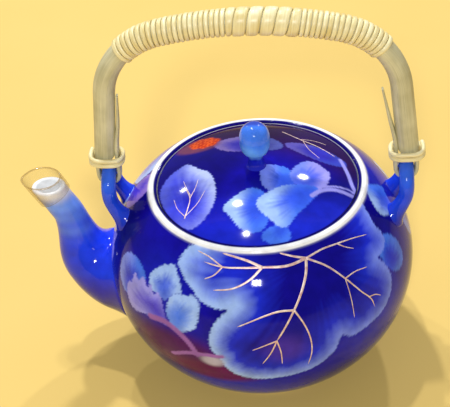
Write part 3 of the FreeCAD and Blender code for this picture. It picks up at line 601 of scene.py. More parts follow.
# each leaf of the pot: outline, its stalk as turn and depth, and its look: how far its paleness reaches
# inwards at its left and elsewhere, inner tint, edge tints at left and right
LONE_LEAVES = (
    (SMALL_LEAF, -29.8, 28.0, (8.0, 8.0, BRIGHT, SKY, SKY)),
    (BROAD_LEAF, BROAD_TURN, BROAD_DEPTH, (19.0, 13.0, ink(14, 6, 138), PALE, FROST)),
)
SPRAY_LEAVES = (
    (SIDE_LEAF, -143.5, 34.4, (12.0, 9.0, COBALT, FROST, SKY)),
    (FAN_LEAF, -126.1, 27.7, (9.0, 9.0, AZURE, PALE, PALE)),
    (TULIP_LEAF, -125.5, 38.8, (10.0, 10.0, VIOLET, MIST, MIST)),
    (ROUND_LEAF, -122.3, 37.1, (10.0, 10.0, SKY, PALE, PALE)),
)
SHOULDER_LEAVES = (
    (SMALL_LEAF, -186.0, 9.0, (9.0, 9.0, VIOLET, MAUVE, MAUVE)),
    (FAN_LEAF, -6.0, 15.0, (9.0, 9.0, AZURE, PALE, SKY)),
)
# the painted groups, each with 1 or -1 for mirrored and its turn round the pot
GROUPS = (
    (LONE_LEAVES + SPRAY_LEAVES + SHOULDER_LEAVES, 1.0, 0.0),
    (LONE_LEAVES + SPRAY_LEAVES[1:], -1.0, 46.2),
    (SPRAY_LEAVES, 1.0, 150.0),
)
# red-brown patches under a group: turn, depth, half width, half height and tint
PATCHES = ((-121.0, 53.0, 28.0, 13.0, AUBERGINE), (-106.0, 60.0, 22.0, 7.0, RUSSET))
# stems of a group about their own turn and depth, each with its width
STEM_TURN = -118.0
STEM_DEPTH = 50.0
STEMS = (
    (((-16.9, 10.2), (-7.9, 11.7), (0, 8.8), (4.8, 4.6), (7.7, -0.4)), 2.4),
    (((-5.4, -5.6), (4.3, -0.5), (11.6, 0.9), (19.4, 1.7)), 1.8),
)
# each leaf of the lid: outline, its stalk in plan, and its look as above
LID_LEAVES = (
    (LID_LONE, -29.5, -29.4, (12.0, 14.0, ink(40, 26, 156), ink(84, 94, 214), ink(178, 192, 250))),
    (LID_BACK, -6.0, 16.0, (10.0, 10.0, ink(52, 44, 140), ink(114, 98, 166), ink(78, 86, 168))),
    (LID_EDGE, 27.0, 13.0, (8.0, 8.0, ink(50, 30, 120), ink(92, 84, 178), DUSK)),
    (LID_UPPER, 16.0, -13.2, (12.0, 12.0, AZURE, FROST, SKY)),
    (LID_RIGHT, 19.4, -11.4, (9.0, 9.0, AZURE, FROST, MIST)),
    (LID_LOWER, 5.8, -25.4, (11.0, 11.0, AZURE, PALE, SKY)),
    (LID_SMALL, 11.8, -35.1, (9.0, 9.0, AZURE, SKY, SKY)),
    (LID_FRONT, 22.0, -19.3, (13.0, 13.0, AZURE, PALE, SKY)),
)
LID_STEMS = (
    (((24.6, -17.4), (28.1, -13.9), (34.6, -11.4), (38.9, -11.8), (44.6, -13.2)), 1.8),
    (((28.9, -11.2), (35.9, -9.1), (41.2, -9.6), (44.6, -11.9)), 1),
    (((37.2, 11.6), (40.5, 1.1), (42.5, -7.1), (44.6, -11.9)), 1.5),
)
BLOSSOM_SPOT = (-25.2, 25.2)
LEAF_MARGIN = 2.0
TOOTH_LENGTH = 2.1
TOOTH_DEPTH = 0.65
POT_GROWTH = 0.7
LID_GROWTH = 1.3


def leaf_edge(outline):
    """Closed line round a leaf: its corners cut twice, each edge giving points at its quarters."""
    line = array(outline)
    for _ in range(2):
        after = np.roll(line, -1, axis=0)
        line = np.stack((0.75 * line + 0.25 * after, 0.25 * line + 0.75 * after), axis=1).reshape(-1, 2)
    return line


def from_edge(line, x, y):
    """Depth inside a closed line, minus outside it, and the length along it to the nearest place.

    The depth is the least distance to any edge, and a level ray from inside crosses an odd number of edges.
    """
    gap = np.full(x.shape, np.inf)
    place = np.zeros(x.shape)
    inside = np.zeros(x.shape, dtype=bool)
    run = 0.0
    for (ax, ay), (bx, by) in zip(line, np.roll(line, -1, axis=0)):
        step = hypot(bx - ax, by - ay)
        share = clip(((x - ax) * (bx - ax) + (y - ay) * (by - ay)) / step**2, 0.0, 1.0)
        away = hypot(x - ax - share * (bx - ax), y - ay - share * (by - ay))
        place = where(away < gap, run + share * step, place)
        gap = minimum(gap, away)
        inside ^= ((ay > y) != (by > y)) & (x < ax + (y - ay) * (bx - ax) / (by - ay + 1e-12))
        run += step
    return where(inside, gap, -gap), place


def lay_leaf(colours, across, up, outline, look, grow):
    """Brushes one leaf inside its toothed outline, grown a little.

    By its depth over its reach it is pale, bright and then its inner tint, in strokes that run from the
    stalk, and a small leaf is paler towards its tip. across and up are lengths from the stalk.
    """
    left, right, inner, left_edge, right_edge = look
    line = leaf_edge(outline)
    low, high = line.min(axis=0), line.max(axis=0)
    spots = joined(across, up)
    near = np.all((spots > low - LEAF_MARGIN) & (spots < high + LEAF_MARGIN), axis=-1)
    x, y = across[near], up[near]
    depth, place = from_edge(line, x, y)
    size = hypot(line[:, 0], line[:, 1]).max()
    broad = ramp(30.0, 45.0, size)
    tooth = (place / TOOTH_LENGTH + 0.6 * sin(place * 0.37)) % 1.0
    depth = depth + max(grow, 1.2 * broad) - TOOTH_DEPTH * tooth
    side = clip((x - low[0]) / (high[0] - low[0]), 0.0, 1.0)
    edge = wash(left_edge, right_edge, ramp(0.2, 0.7, side))
    spoke = arctan2(y, x)
    uneven = 1.0 + 0.09 * ripple(spoke * 3.0) + 0.05 * sin(spoke * 61.0)
    reach = (right + (left - right) * ramp(0.72, 0.97, -cos(spoke))) * uneven
    into = maximum(depth, 0.0) / reach
    middle = minimum(maximum(BRIGHT, inner), edge)
    leaf = wash(inner, middle, np.interp(into, (0.4, 0.7, 1.0, 1.6), (1.0, 0.8, 0.45, 0.0)))
    far = hypot(x, y) / size
    strokes = 0.5 + 0.5 * sin(spoke * 29.0 + 2.0 * sin(spoke * 11.0))
    pale = np.interp(into, (0.0, 0.1, 0.3, 0.65), (1.0, 0.9, 0.45, 0.0))
    pale = pale * maximum(broad, 0.3 + 0.7 * ramp(0.1, 0.6, far))
    pale = pale + (1.0 - broad) * ramp(0.25, 0.85, far) * (0.38 + 0.34 * strokes)
    leaf = wash(leaf, edge, clip(pale, 0.0, 1.0))
    colours = colours.copy()
    colours[near] = wash(colours[near], leaf, ramp(-0.3, 0.35, depth))
    return colours


def draw_stem(colours, across, up, points, width, tint):
    """Brushes a stem: a tint within about half a width of a smooth line, softened at its edges."""
    gap = np.full(across.shape, np.inf)
    for x, y in line_through(points, 60):
        gap = minimum(gap, (across - x) ** 2 + (up - y) ** 2)
    return wash(colours, tint, ramp(width * 0.75, width * 0.4, np.sqrt(gap)))


def brush_group(colours, turn, around, down, leaves, flip, offset):
    """One painted group: red-brown patches, leaves, a bloom in the broad leaf, a pale spot, stems."""

    def across_from(hub):
        """Length round the pot from a stalk: the turn between, mirrored by flip, times the radius."""
        return flip * ((turn - radians(offset + flip * hub) + pi) % TURN - pi) * around

    whole = len(leaves) > len(SPRAY_LEAVES)
    for hub, depth, wide, tall, tint in PATCHES if whole else PATCHES[:1]:
        patch = hypot(across_from(hub) / wide, (depth - down) / tall)
        colours = wash(colours, tint, 0.92 * ramp(1.25, 0.55, patch))
    for outline, hub, depth, look in leaves:
        colours = lay_leaf(colours, across_from(hub), depth - down, outline, look, POT_GROWTH)
    if whole:
        bloom = hypot((across_from(BROAD_TURN) + 17.0) / 12.0, (BROAD_DEPTH - down + 38.0) / 9.0)
        colours = wash(colours, ink(92, 58, 176), 0.5 * ramp(1.2, 0.2, bloom))
    across = across_from(STEM_TURN)
    spot = hypot((across - 14.5) / 6.2, (STEM_DEPTH + 2.0 - down) / 3.8)
    colours = wash(colours, STONE, 0.8 * ramp(1.2, 0.5, spot))
    for stem, width in STEMS:
        colours = draw_stem(colours, across, STEM_DEPTH - down, stem, width, ROSE)
    return colours


def brush_pot(points):
    """Colours of the pot's outside by turn and by length down from the rim.

    A cloud of two sines runs from deep to bright cobalt, with the groups over it and a white lip.
    """
    x, y, z = np.moveaxis(points, -1, 0)
    around, turn = hypot(x, y), arctan2(y, x)
    radius = where(z >= EQUATOR, SHOULDER_ARC, BELLY_ARC)
    down = SHOULDER_LENGTH - radius * arctan2(z - EQUATOR, around - BODY_RADIUS + radius)
    cloud = 0.5 + 0.25 * sin(3.0 * turn + 0.09 * down) + 0.25 * sin(5.0 * turn - 0.06 * down + 1.7)
    colours = wash(wash(DEEP, COBALT, ramp(0.1, 0.6, cloud)), BRIGHT, 0.35 * ramp(0.55, 1.0, cloud))
    for group in GROUPS:
        colours = brush_group(colours, turn, around, down, *group)
    return wash(colours, WHITE, ramp(0.8, 0.3, down))


def brush_lid(points):
    """Colours of the lid's top in plan: deep cobalt, leaves, pale stems and one rust-red blossom."""
    x, y = points[..., 0], points[..., 1]
    cloud = 0.5 + 0.5 * sin(0.07 * x - 0.05 * y + 0.6)
    colours = wash(DEEP, COBALT, ramp(0.2, 0.9, cloud))
    # painted light: brighter blue towards the front of the lid
    colours = wash(colours, BRIGHT, 0.75 * ramp(-8.0, -42.0, y - 0.25 * x))
    # painted reflection: dark maroon towards the back right of the lid
    colours = wash(colours, ink(44, 6, 52), 0.85 * ramp(4.0, 26.0, y + 0.35 * x))
    for outline, hub_x, hub_y, look in LID_LEAVES:
        colours = lay_leaf(colours, x - hub_x, y - hub_y, outline, look, LID_GROWTH)
    for stem, width in LID_STEMS:
        colours = draw_stem(colours, x, y, stem, width, MIST)
    across, up = x - BLOSSOM_SPOT[0], y - BLOSSOM_SPOT[1]
    shade = hypot((across + 2.8) / 8.4, (up + 1.6) / 5.6)
    colours = wash(colours, ink(128, 66, 74), 0.7 * ramp(1.5, 1.0, shade))
    blossom = hypot(across / 7.2, up / 5.6) / (1.0 + 0.06 * sin(7.0 * arctan2(up, across)))
    dots = sin(x * 2.3 + 1.4 * sin(y * 1.9)) * sin(y * 2.1 + 1.2 * sin(x * 1.4))
    petals = wash(ink(182, 44, 6), ink(230, 92, 26), ramp(-0.5, 0.7, dots))
    return wash(colours, petals, ramp(1.1, 0.85, blossom))


def pot_profile():
    """The pot's section, and how many of its points lie outside and on the lip.

    It runs under the foot, up the arcs of belly and shoulder, over the lip, down to the lid's ledge and along
    two inner arcs, a wall less in radius, to the floor.
    """
    belly, shoulder = BODY_RADIUS - BELLY_ARC, BODY_RADIUS - SHOULDER_ARC
    foot_angle = -np.arccos((FOOT_RADIUS - belly) / BELLY_ARC)
    floor_angle = -np.arcsin((EQUATOR - FLOOR) / (BELLY_ARC - WALL))
    ledge_angle = np.arcsin((LEDGE_UNDER - EQUATOR) / (SHOULDER_ARC - WALL))
    recess = ((1.0, FOOT_RECESS), (20.0, FOOT_RECESS), (FOOT_INNER, FOOT_RECESS), (FOOT_INNER, FOOT_BEVEL))
    foot = ((FOOT_INNER + FOOT_BEVEL, 0.0), (FOOT_RADIUS - FOOT_BEVEL, 0.0), (FOOT_RADIUS, FOOT_BEVEL))
    outer_lip = ((RIM_RADIUS, RIM_HEIGHT), (RIM_RADIUS - 0.4, RIM_TOP - 0.35), (RIM_RADIUS - 1.9, RIM_TOP))
    inner_lip = ((RIM_INNER + 0.5, RIM_TOP - 0.35), (RIM_INNER, RIM_HEIGHT - 0.2))
    ledge = [(RIM_INNER, LEDGE_HEIGHT)]
    ledge += [(LEDGE_RADIUS, LEDGE_HEIGHT), (LEDGE_RADIUS, LEDGE_HEIGHT - LEDGE_DEPTH)]
    under = arc(belly, EQUATOR, BELLY_ARC, foot_angle, 0.0, 84)
    over = arc(shoulder, EQUATOR, SHOULDER_ARC, 0.0, RIM_ANGLE, 70)[1:]
    inner_over = arc(shoulder, EQUATOR, SHOULDER_ARC - WALL, ledge_angle, 0.0, 16)
    inner_under = arc(belly, EQUATOR, BELLY_ARC - WALL, 0.0, floor_angle, 16)[1:]
    floor = ((20.0, FLOOR), (1.0, FLOOR))
    lip = line_through(outer_lip + inner_lip, 15)
    outside = concatenate((eased(concatenate((recess, foot, under)), 0.5), over))
    inside = eased(concatenate((lip[-2:], ledge, inner_over, inner_under, floor)), 0.6)
    return concatenate((outside, lip[1:-2], inside)), len(outside), len(lip) - 3


def make_pot(finish):
    """The pot's section turned round Z and brushed, with seven strainer holes behind the spout."""
    profile, outer, lip = pot_profile()
    points = turned(profile, POT_COLUMNS)
    row = np.indices(points.shape[:2])[0]
    colours = wash(brush_pot(points), INNER_WHITE, row >= outer + lip)
    # the white lip, with deep cobalt on its inner edge and the top of the inner wall as painted shade of the
    # gap round the lid
    rim = ramp(RIM_INNER + 1.2, RIM_INNER + 1.7, hypot(points[..., 0], points[..., 1]))
    colours = wash(colours, wash(DEEP, WHITE, rim), (row >= outer - 1) & (row < outer + lip + 2))
    colours = wash(colours, BISQUE, points[..., 2] < BARE_FOOT)
    piece = make_piece("pot_shell", [points], "pot", finish, ("pot_body",), colours=colours)
    spots = [(0.0, STRAINER_HEIGHT)]
    for angle in circle(6):
        spots.append((STRAINER_RING * cos(angle), STRAINER_HEIGHT + STRAINER_RING * sin(angle)))
    drill(piece, spots, 0, STRAINER_REACH, STRAINER_HOLE)


def make_lid(finish):
    """The lid's section turned round Z: two arcs for the dome, a soft edge, the flange, and a steam vent."""
    centre = LID_TOP - LID_ARC
    middle = pi / 2 - LID_MIDDLE
    inner = LID_ARC - LID_WALL
    top = arc(0.0, centre, LID_ARC, middle, pi / 2 - np.arcsin(LID_RADIUS / LID_ARC), 96)
    edge = ((LID_RADIUS, LEDGE_HEIGHT), (FLANGE_RADIUS, LEDGE_HEIGHT))
    flange = ((FLANGE_RADIUS, FLANGE_FOOT), (FLANGE_INNER, FLANGE_FOOT))
    under = arc(0.0, centre, inner, pi / 2 - np.arcsin(FLANGE_INNER / inner), middle, 12)
    profile = eased(concatenate((top, edge, flange, under)), 0.7)
    points = turned(profile, LID_COLUMNS)
    around = hypot(points[..., 0], points[..., 1])
    row = np.indices(points.shape[:2])[0]
    # painted shade: deep cobalt on the lid's outer edge and side, in the gap inside the rim
    colours = wash(brush_lid(points), DEEP, ramp(LID_RADIUS - 0.5, LID_RADIUS - 0.2, around))
    colours = wash(colours, INNER_WHITE, ramp(len(top) + 8, len(top) + 11, row))
    piece = make_piece("lid_dome", [points], "lid", finish, ("lid",), colours=colours)
    drill(piece, (VENT_SPOT,), 2, VENT_REACH, VENT_HOLE)


def make_knob(finish):
    """Egg on a waisted neck: a smooth section turned round Z, cobalt, sky blue and a top darkened towards the
    back as a painted reflection.
    """
    points = turned(line_through(KNOB, 90), 96)
    x, y, z = np.moveaxis(points, -1, 0)
    angle = arctan2(y, x)
    sky = wash(ink(118, 186, 255), ink(68, 130, 255), ramp(111.0, 120.0, z + 1.2 * sin(4.0 * angle)))
    # painted reflection: the top of the egg darker towards the back, where it mirrors dark surroundings
    sky = wash(sky, ink(48, 54, 168), 0.8 * ramp(123.2, 125.8, z + 0.8 * y))
    colours = wash(wash(COBALT, BRIGHT, 0.5), sky, ramp(107.9, 110.6, z + 0.3 * sin(5.0 * angle)))
    make_piece("knob_egg", [points], "lid", finish, ("lid_knob",), colours=colours)


def spout_line(way):
    """Middle line, heading and radius of the spout: Hermite spans through its stations along their tilts."""
    tilt = radians(SPOUT[:, 2])
    spot, width = SPOUT[:, :2], SPOUT[:, 3:]
    knots = lengths_along(spot)
    slope = joined(-sin(tilt), cos(tilt))
    way = way * knots[-1]
    ahead = hermite(knots, spot, slope, minimum(way + 0.01, knots[-1]))
    behind = hermite(knots, spot, slope, maximum(way - 0.01, 0.0))
    radius = hermite(knots, width, np.gradient(width, knots, axis=0), way)
    return hermite(knots, spot, slope, way), unit(ahead - behind), radius


def ring_points(centre, heading, radius, angle):
    """Circles in planes across a heading that lies in the XZ plane; angle 0 is on the left of the heading."""
    x = centre[:, :1] - radius * cos(angle) * heading[:, 1:]
    z = centre[:, 1:] + radius * cos(angle) * heading[:, :1]
    return joined(x, radius * sin(angle), z)


def brush_spout(points):
    """Colours of the spout by height, mottled by two sines: deep at the root, bright, pale, then white."""
    x, y, z = np.moveaxis(points, -1, 0)
    turn = arctan2(y, -x)
    mottle = 2.5 * sin(9.0 * turn + 0.3 * z) + 1.4 * sin(0.9 * z + 14.0 * turn)
    colours = wash(ink(34, 28, 184), ink(26, 62, 236), ramp(40.0, 64.0, z + mottle))
    colours = wash(colours, ink(120, 164, 255), 0.9 * ramp(66.0, 88.0, z + mottle))
    colours = wash(colours, ink(250, 250, 252), ramp(87.5, 93.5, z + 0.3 * mottle))
    return wash(wash(DEEP, COBALT, ramp(24.0, 50.0, z)), colours, ramp(34.0, 52.0, z))


def make_spout(finish):
    """The spout as a closed ring of rows: out along the S, over the lip and down the bore.

    Near the pot a fillet widens it, by the square of how close the pot is.
    """
    angle = circle(SPOUT_COLUMNS)[None, :]
    centre, heading, radius = spout_line(linspace(0.0, 1.0, 90))
    depth, _ = pot_depth(ring_points(centre, heading, radius, angle))
    flare = SPOUT_FILLET * clip(1.0 - depth / FILLET_REACH, 0.0, 1.0) ** 2

    def tube(width):
        """Rings from the pot's wall, then straight along the tip's axis to the level of the lip."""
        rings = rooted(ring_points(centre, heading, width, angle), SPOUT_ROOT)
        rise = (RIM_HEIGHT - SPOUT_LIP - rings[-1][:, 2]) / TIP_AXIS[2]
        share = linspace(0.1, 1.0, 12)[:, None, None]
        return concatenate((rings, rings[-1][None] + share * rise[None, :, None] * TIP_AXIS))

    outer = tube(radius + flare)
    bore = tube(radius - SPOUT_WALL)
    points = concatenate((outer, rolled_lip(outer[-1], bore[-1], SPOUT_LIP, 9), bore[::-1]))
    row = np.indices(points.shape[:2])[0]
    colours = wash(brush_spout(points), INNER_WHITE, row >= len(outer) + 3)
    make_piece("spout_tube", [points], "pot", finish, ("spout",), True, colours)


def make_lug(place, side, finish):
    """An arched lug: a round bar up one leg, over a half circle and down the other.

    Its feet widen by an exponential of the distance from the pot.
    """
    half = linspace(0.0, pi, 25)
    arch = joined(LUG_SPAN, -LUG_ARCH * cos(half), LUG_PIVOT + LUG_ARCH * sin(half))
    back = array(LUG_LEG[::-1]) * (1.0, -1.0, 1.0)
    line = line_through(concatenate((LUG_LEG, arch[2:-2:2], back)), 150)
    ahead = unit(np.gradient(line, axis=0))
    out = unit(ALONG_X - ahead * ahead[:, :1])
    across = np.cross(ahead, out)
    angle = circle(40)
    bar = np.full((len(line), 1), LUG_TUBE)
    depth, _ = pot_depth(swept(line, out, across, bar * cos(angle), bar * sin(angle)))
    radius = LUG_TUBE + LUG_FLARE * np.exp(-maximum(depth, 0.0) / FLARE_REACH)
    points = swept(line, out, across, radius * cos(angle), radius * sin(angle))
    points = rooted(points, LUG_ROOT) * (side, 1.0, 1.0)
    y, z = points[..., 1], points[..., 2]
    colours = wash(COBALT, ink(30, 72, 232), ramp(77.0, 90.0, z + 1.5 * sin(0.8 * y)))
    colours = wash(colours, ink(58, 112, 246), ramp(92.0, 105.0, z))
    name, node = "lug_arch_" + place, "lug_" + place
    make_piece(name, [points], "pot", finish, (node,), colours=colours)


def grip_line(along):
    """Middle line of the cane, and the way out, by length from its top.

    Each side is a flat arc, a corner arc and a straight leg, whose headings follow from length over radius.
    """
    way = np.abs(along)
    side = where(along < 0.0, -1.0, 1.0)
    corner = clip(way - CROWN_LENGTH, 0.0, CORNER_LENGTH)
    leg = maximum(way - CROWN_LENGTH - CORNER_LENGTH, 0.0)
    first = minimum(way, CROWN_LENGTH) / CROWN_ARC
    heading = first + corner / CORNER_ARC
    x = CROWN_ARC * sin(first) + CORNER_ARC * (sin(heading) - sin(first)) + leg * cos(heading)
    drop = CROWN_ARC * (1.0 - cos(first)) - CORNER_ARC * (cos(heading) - cos(first)) + leg * sin(heading)
    return joined(side * x, 0.0, HANDLE_TOP - drop), joined(side * sin(heading), 0.0, cos(heading))


def make_cane(finish):
    """The bent cane: rounds with faint flats, by sines, along the grip line, skived inside at both ends."""
    reach = CROWN_LENGTH + CORNER_LENGTH + LEG_LENGTH
    along = linspace(-reach, reach, 420)
    line, out = grip_line(along)
    angle = circle(72)
    flats = 0.008 * (1.0 + sin(11.0 * angle))
    swells = 0.006 * (1.0 + sin(along / 9.0))[:, None]
    radius = CANE_RADIUS * (1.0 - flats - swells)
    skive = SKIVE_DEPTH * ramp(SKIVE_LENGTH, 0.0, reach - np.abs(along)) - CANE_RADIUS
    up = maximum(radius * cos(angle), skive[:, None])
    wide = radius * sin(angle)
    points = line[:, None] + up[..., None] * out[:, None] + wide[..., None] * ACROSS
    grain = joined(up, wide, along[:, None])
    make_piece("bail_rod", [points], "bail", finish, ("handle_cane",), grain=grain)


def make_hook(place, side, finish):
    """The skived end of the cane: a flat strip down, under the lug and up as a tapering tail.

    Its section is a rounded oblong, of cosine and sine made fuller.
    """
    half = linspace(0.0, pi, 13)
    bend = joined(LUG_SPAN + HOOK_BEND * cos(half), HOOK_CENTRE - HOOK_BEND * sin(half))
    tail = array(TAIL)
    tail[2:, 0] -= (TAIL_SPRING[place] / 3.0, TAIL_SPRING[place])
    line = line_through(concatenate((HOOK_START, bend, tail)), 150)
    ahead = unit(np.gradient(line, axis=0))
    way = lengths_along(line)
    thin = ramp(way[-1] - TAIL_TAPER, way[-1], way)[:, None]
    angle = circle(28)
    u = squared(cos(angle), 0.55) * (HOOK_THICK[0] + (HOOK_THICK[1] - HOOK_THICK[0]) * thin)
    v = squared(sin(angle), 0.55) * (HOOK_WIDE[0] + (HOOK_WIDE[1] - HOOK_WIDE[0]) * thin)
    x = side * (line[:, None, 0] - u * ahead[:, None, 1])
    points = joined(x, v, line[:, None, 1] + u * ahead[:, None, 0])
    grain = joined(u, v, way[:, None] + 40.0 * side)
    make_piece("cane_end_" + place, [points], "bail", finish, ("handle_cane",), grain=grain)


def winding_edges():
    """Turn angle, both edges and share of the broad band along the whole winding.

    Each turn lies beside the turn before it, so the edges are running sums of the strip's width.
    """
    turns = FRONT_TURNS + BAND_TURNS + BACK_TURNS
    step = np.arange(STRIP_STEPS) / STRIP_STEPS
    place = np.arange(turns)[:, None] + step
    share = clip(minimum(place - FRONT_TURNS, FRONT_TURNS + BAND_TURNS - place), 0.0, 1.0)
    width = STRIP_FINE + (STRIP_BROAD - STRIP_FINE) * share
    first = WINDING_START - STRIP_FINE + (STRIP_FINE + STRIP_GAP) * (step - 1.0)
    right = first + np.cumsum(width + STRIP_GAP, axis=0)
    return place.ravel() * TURN, (right - width).ravel(), right.ravel(), share.ravel()


def make_winding(place, first, last, finish):
    """A strip wound round the grip: a low flat-topped section between the winding's edges.

    Its place along the grip and its angle give each point, at the cane's radius plus the section's lift.
    """
    part = slice(first * STRIP_STEPS, last * STRIP_STEPS - 5)
    angle, left, right, share = (values[part][:, None] for values in winding_edges())
    swing = circle(18)
    middle = (left + right) / 2.0 + 0.05 * sin(angle * 0.37)
    offset = ((right - left) / 2.0 + 0.14) * squared(cos(swing), 0.62)
    thick = (STRIP_THICK + 0.2 * share) * (1.0 + 0.04 * sin(angle * 0.71))
    lift = where(sin(swing) > 0.0, np.abs(sin(swing)) ** 0.6, -0.05) * thick
    line, out = grip_line(middle + offset)
    way = sin(angle)[..., None] * -ACROSS - cos(angle)[..., None] * out
    points = line + (CANE_RADIUS + 0.06 + lift)[..., None] * way
    grain = joined(offset + 0.37 * angle, lift, angle * CANE_RADIUS)
    make_piece("winding_" + place, [points], "bail", finish, ("wrap_" + place,), grain=grain)


def make_collar(place, side, finish):
    """Two turns of thin round cane on a rounded-square helix about the leg and its tail."""
    turn = linspace(*BINDING_TURNS, 260)
    rise = BINDING_PITCH * turn
    half = (BINDING_OUTER - BINDING_INNER) / 2.0
    x = (half + BINDING_CLEAR) * squared(cos(turn * TURN), 2 / 3)
    y = (CANE_RADIUS + BINDING_CLEAR) * squared(sin(turn * TURN), 2 / 3)
    line = joined(BINDING_INNER + half - BINDING_LEAN * rise + x, y, BINDING_FOOT + rise)
    ahead = unit(np.gradient(line, axis=0))
    up = unit(UPWARD - ahead * ahead[:, 2:])
    angle = circle(24)
    radius = BINDING_RADIUS * (1.0 - 0.03 * (1.0 + sin(6.0 * angle)))[None, :]
    points = swept(line, up, np.cross(ahead, up), radius * cos(angle), radius * sin(angle))
    way = lengths_along(line)[:, None] + 30.0 * side
    grain = joined(cos(angle), sin(angle), way)
    skins = [points * (side, 1.0, 1.0)]
    make_piece("binding_" + place, skins, "bail", finish, ("collar_" + place,), grain=grain)


def make_guard(finish):
    """The clear sleeve: a thin cone about the spout's tip, cut level, with a small bell-curve beak."""
    angle = circle(120)
    side = array((-cos(TIP_TILT), 0.0, -sin(TIP_TILT)))
    spoke = cos(angle)[:, None] * side + sin(angle)[:, None] * ACROSS
    beak = BEAK_REACH * np.exp(-(((angle + pi) % TURN - pi) / BEAK_SPREAD) ** 2) - GUARD_TUCK
    edge = GUARD_SLOPE * spoke + TIP_AXIS

    def cone(radius):
        """Rings from a square foot to a level mouth, leaning to the beak by the cube of the way."""
        low = GUARD_FOOT + radius * spoke
        rise = ((GUARD_MOUTH - low[:, 2]) / edge[:, 2])[:, None]
        share = linspace(0.0, 1.0, 30)[:, None, None]
        return low + share * rise * edge - share**3 * (beak * cos(angle))[:, None] * ALONG_X

    outer = cone(GUARD_OUTER)
    inner = cone(GUARD_INNER)
    points = concatenate((outer, rolled_lip(outer[-1], inner[-1], GUARD_LIP, 7), inner[::-1]))
    make_piece("clear_guard", [points], "guard", finish, ("spout_guard",), ring=True)


# gilt veins, from the stalk outwards: points across and up in mm, with the widths at both ends
FRONT_VEINS = (
    (((0, 0), (-8, -1.2), (-19, -0.6), (-28, -0.8), (-36, -1.2), (-44, -0.6)), 1.26, 0.56),
    (((-19, -0.6), (-24, 2.2), (-30, 3.9), (-34, 4.6)), 1.26, 0.72),
    (((-19, -0.6), (-25, -5.2), (-34, -9.6), (-43, -11.4)), 1.18, 0.48),
    (((-36, -1.2), (-41, 2), (-46, 3.2)), 0.76, 0.4),
    (((-36, -1.2), (-41, -5.2), (-46, -7.6)), 0.76, 0.4),
    (((0, 0), (-5, 2.2), (-10, 4.7)), 1.09, 0.64),
    (((0, 0), (8, 1.2), (15.6, 0.4), (24, -1.4), (33, -4.4)), 0.92, 0.32),
    (((15.6, 0.4), (19, -2.6), (23, -5.2)), 0.59, 0.32),
    (((0, 0), (7, -5.4), (14.5, -14.2), (21, -23), (26.4, -30.2), (27.5, -34)), 0.92, 0.48),
    (((14.5, -14.2), (20, -13.8), (27, -15.2)), 0.67, 0.32),
    (((14.5, -14.2), (15.2, -22), (15.6, -33)), 0.5, 0.32),
    (((24.6, -27.6), (28.5, -28.6), (32, -31)), 0.59, 0.32),
    (((0, 0), (-1.6, -5), (-4.6, -10.8), (-10.8, -20.1), (-15.4, -26.5), (-20.2, -33.2)), 1.26, 0.72),
    (((-10.8, -20.1), (-17, -19.7), (-23.3, -21.1), (-30, -23.6), (-35.9, -26.1)), 1.01, 0.48),
    (((-10.8, -20.1), (-7.8, -27), (-5.8, -35), (-5.6, -42), (-7.2, -50)), 0.84, 0.4),
    (((-20.2, -33.2), (-25, -35), (-31, -37.6)), 0.76, 0.4),
    (((-20.2, -33.2), (-23, -39), (-27, -45.6)), 0.76, 0.4),
    (((-20.2, -33.2), (-19, -39), (-18.6, -46.5)), 0.67, 0.4),
)
REAR_VEINS = (
    (((0, 0), (-9, -1.6), (-20, -2), (-30, -3.6), (-44, -5)), 1.26, 0.56),
    (((-20, -2), (-27, 2), (-35, 4)), 1.01, 0.56),
    (((-20, -2), (-27, -9), (-38, -14)), 1.01, 0.48),
    (((0, 0), (9, -1.2), (18, -4.4), (28, -6), (40, -10)), 1.01, 0.4),
    (((18, -4.4), (23, -13), (30, -24)), 0.76, 0.4),
    (((0, 0), (-1.8, -8), (-4.6, -18), (-8, -30), (-10, -42)), 1.26, 0.56),
    (((-4.6, -18), (-14, -22), (-25, -30)), 0.92, 0.4),
    (((-4.6, -18), (3, -26), (8, -38)), 0.84, 0.4),
)
LID_VEINS = (
    (((-30.4, -27.5), (-29.4, -23), (-28.6, -17), (-30, -12.5), (-31.6, -9)), 0.55, 0.3),
    (((-28.7, -17), (-26.6, -11), (-25.6, -5.5)), 0.42, 0.25),
    (((-28.5, -15), (-31, -9), (-32.4, -4.5)), 0.36, 0.22),
    (((-30.2, -26.5), (-34, -21), (-36, -15)), 0.36, 0.22),
    (((-30.2, -26.5), (-25, -20.5), (-22, -13.5)), 0.36, 0.22),
    (((10.7, 32), (19.1, 24.5), (28.2, 18.8), (35, 13)), 0.5, 0.3),
    (((19.1, 24.5), (25, 25), (31, 23)), 0.36, 0.22),
    (((20.5, 23.2), (23, 16), (28, 9)), 0.36, 0.22),
)
# the veined leaves of the pot: the stalk's turn and depth, and the veins
POT_VEINS = ((BROAD_TURN, BROAD_DEPTH, FRONT_VEINS), (112.0, 6.0, REAR_VEINS))
VEIN_HEIGHT = 0.07
VEIN_POINTS = 44


def gilt_bead(line, out, start, end):
    """A low gilt bead: flat ellipses along a line on the glaze, narrowing from start to end width."""
    side = np.cross(out, unit(np.gradient(line, axis=0)))
    angle = circle(10)
    share = linspace(0.0, 1.0, len(line))
    half = 0.5 * (start + (end - start) * share) * (0.25 + 0.75 * ramp(1.0, 0.94, share))
    return swept(line, side, out, half[:, None] * cos(angle), VEIN_HEIGHT * sin(angle)[None, :])


def on_pot(flat, hub, depth):
    """Points of the pot's skin, and the way out, for lengths round from a stalk's turn and up from its depth.

    Length over the arc's radius gives the tilt, and length round over the radius there gives the turn.
    """
    down = maximum(depth - flat[:, 1], 0.8)
    bow = where(down < SHOULDER_LENGTH, SHOULDER_ARC, BELLY_ARC)
    tilt = (SHOULDER_LENGTH - down) / bow
    radius = BODY_RADIUS - bow + bow * cos(tilt)
    turn = radians(hub) + flat[:, 0] / radius
    line = joined(radius * cos(turn), radius * sin(turn), EQUATOR + bow * sin(tilt))
    return line, joined(cos(tilt) * cos(turn), cos(tilt) * sin(turn), sin(tilt))


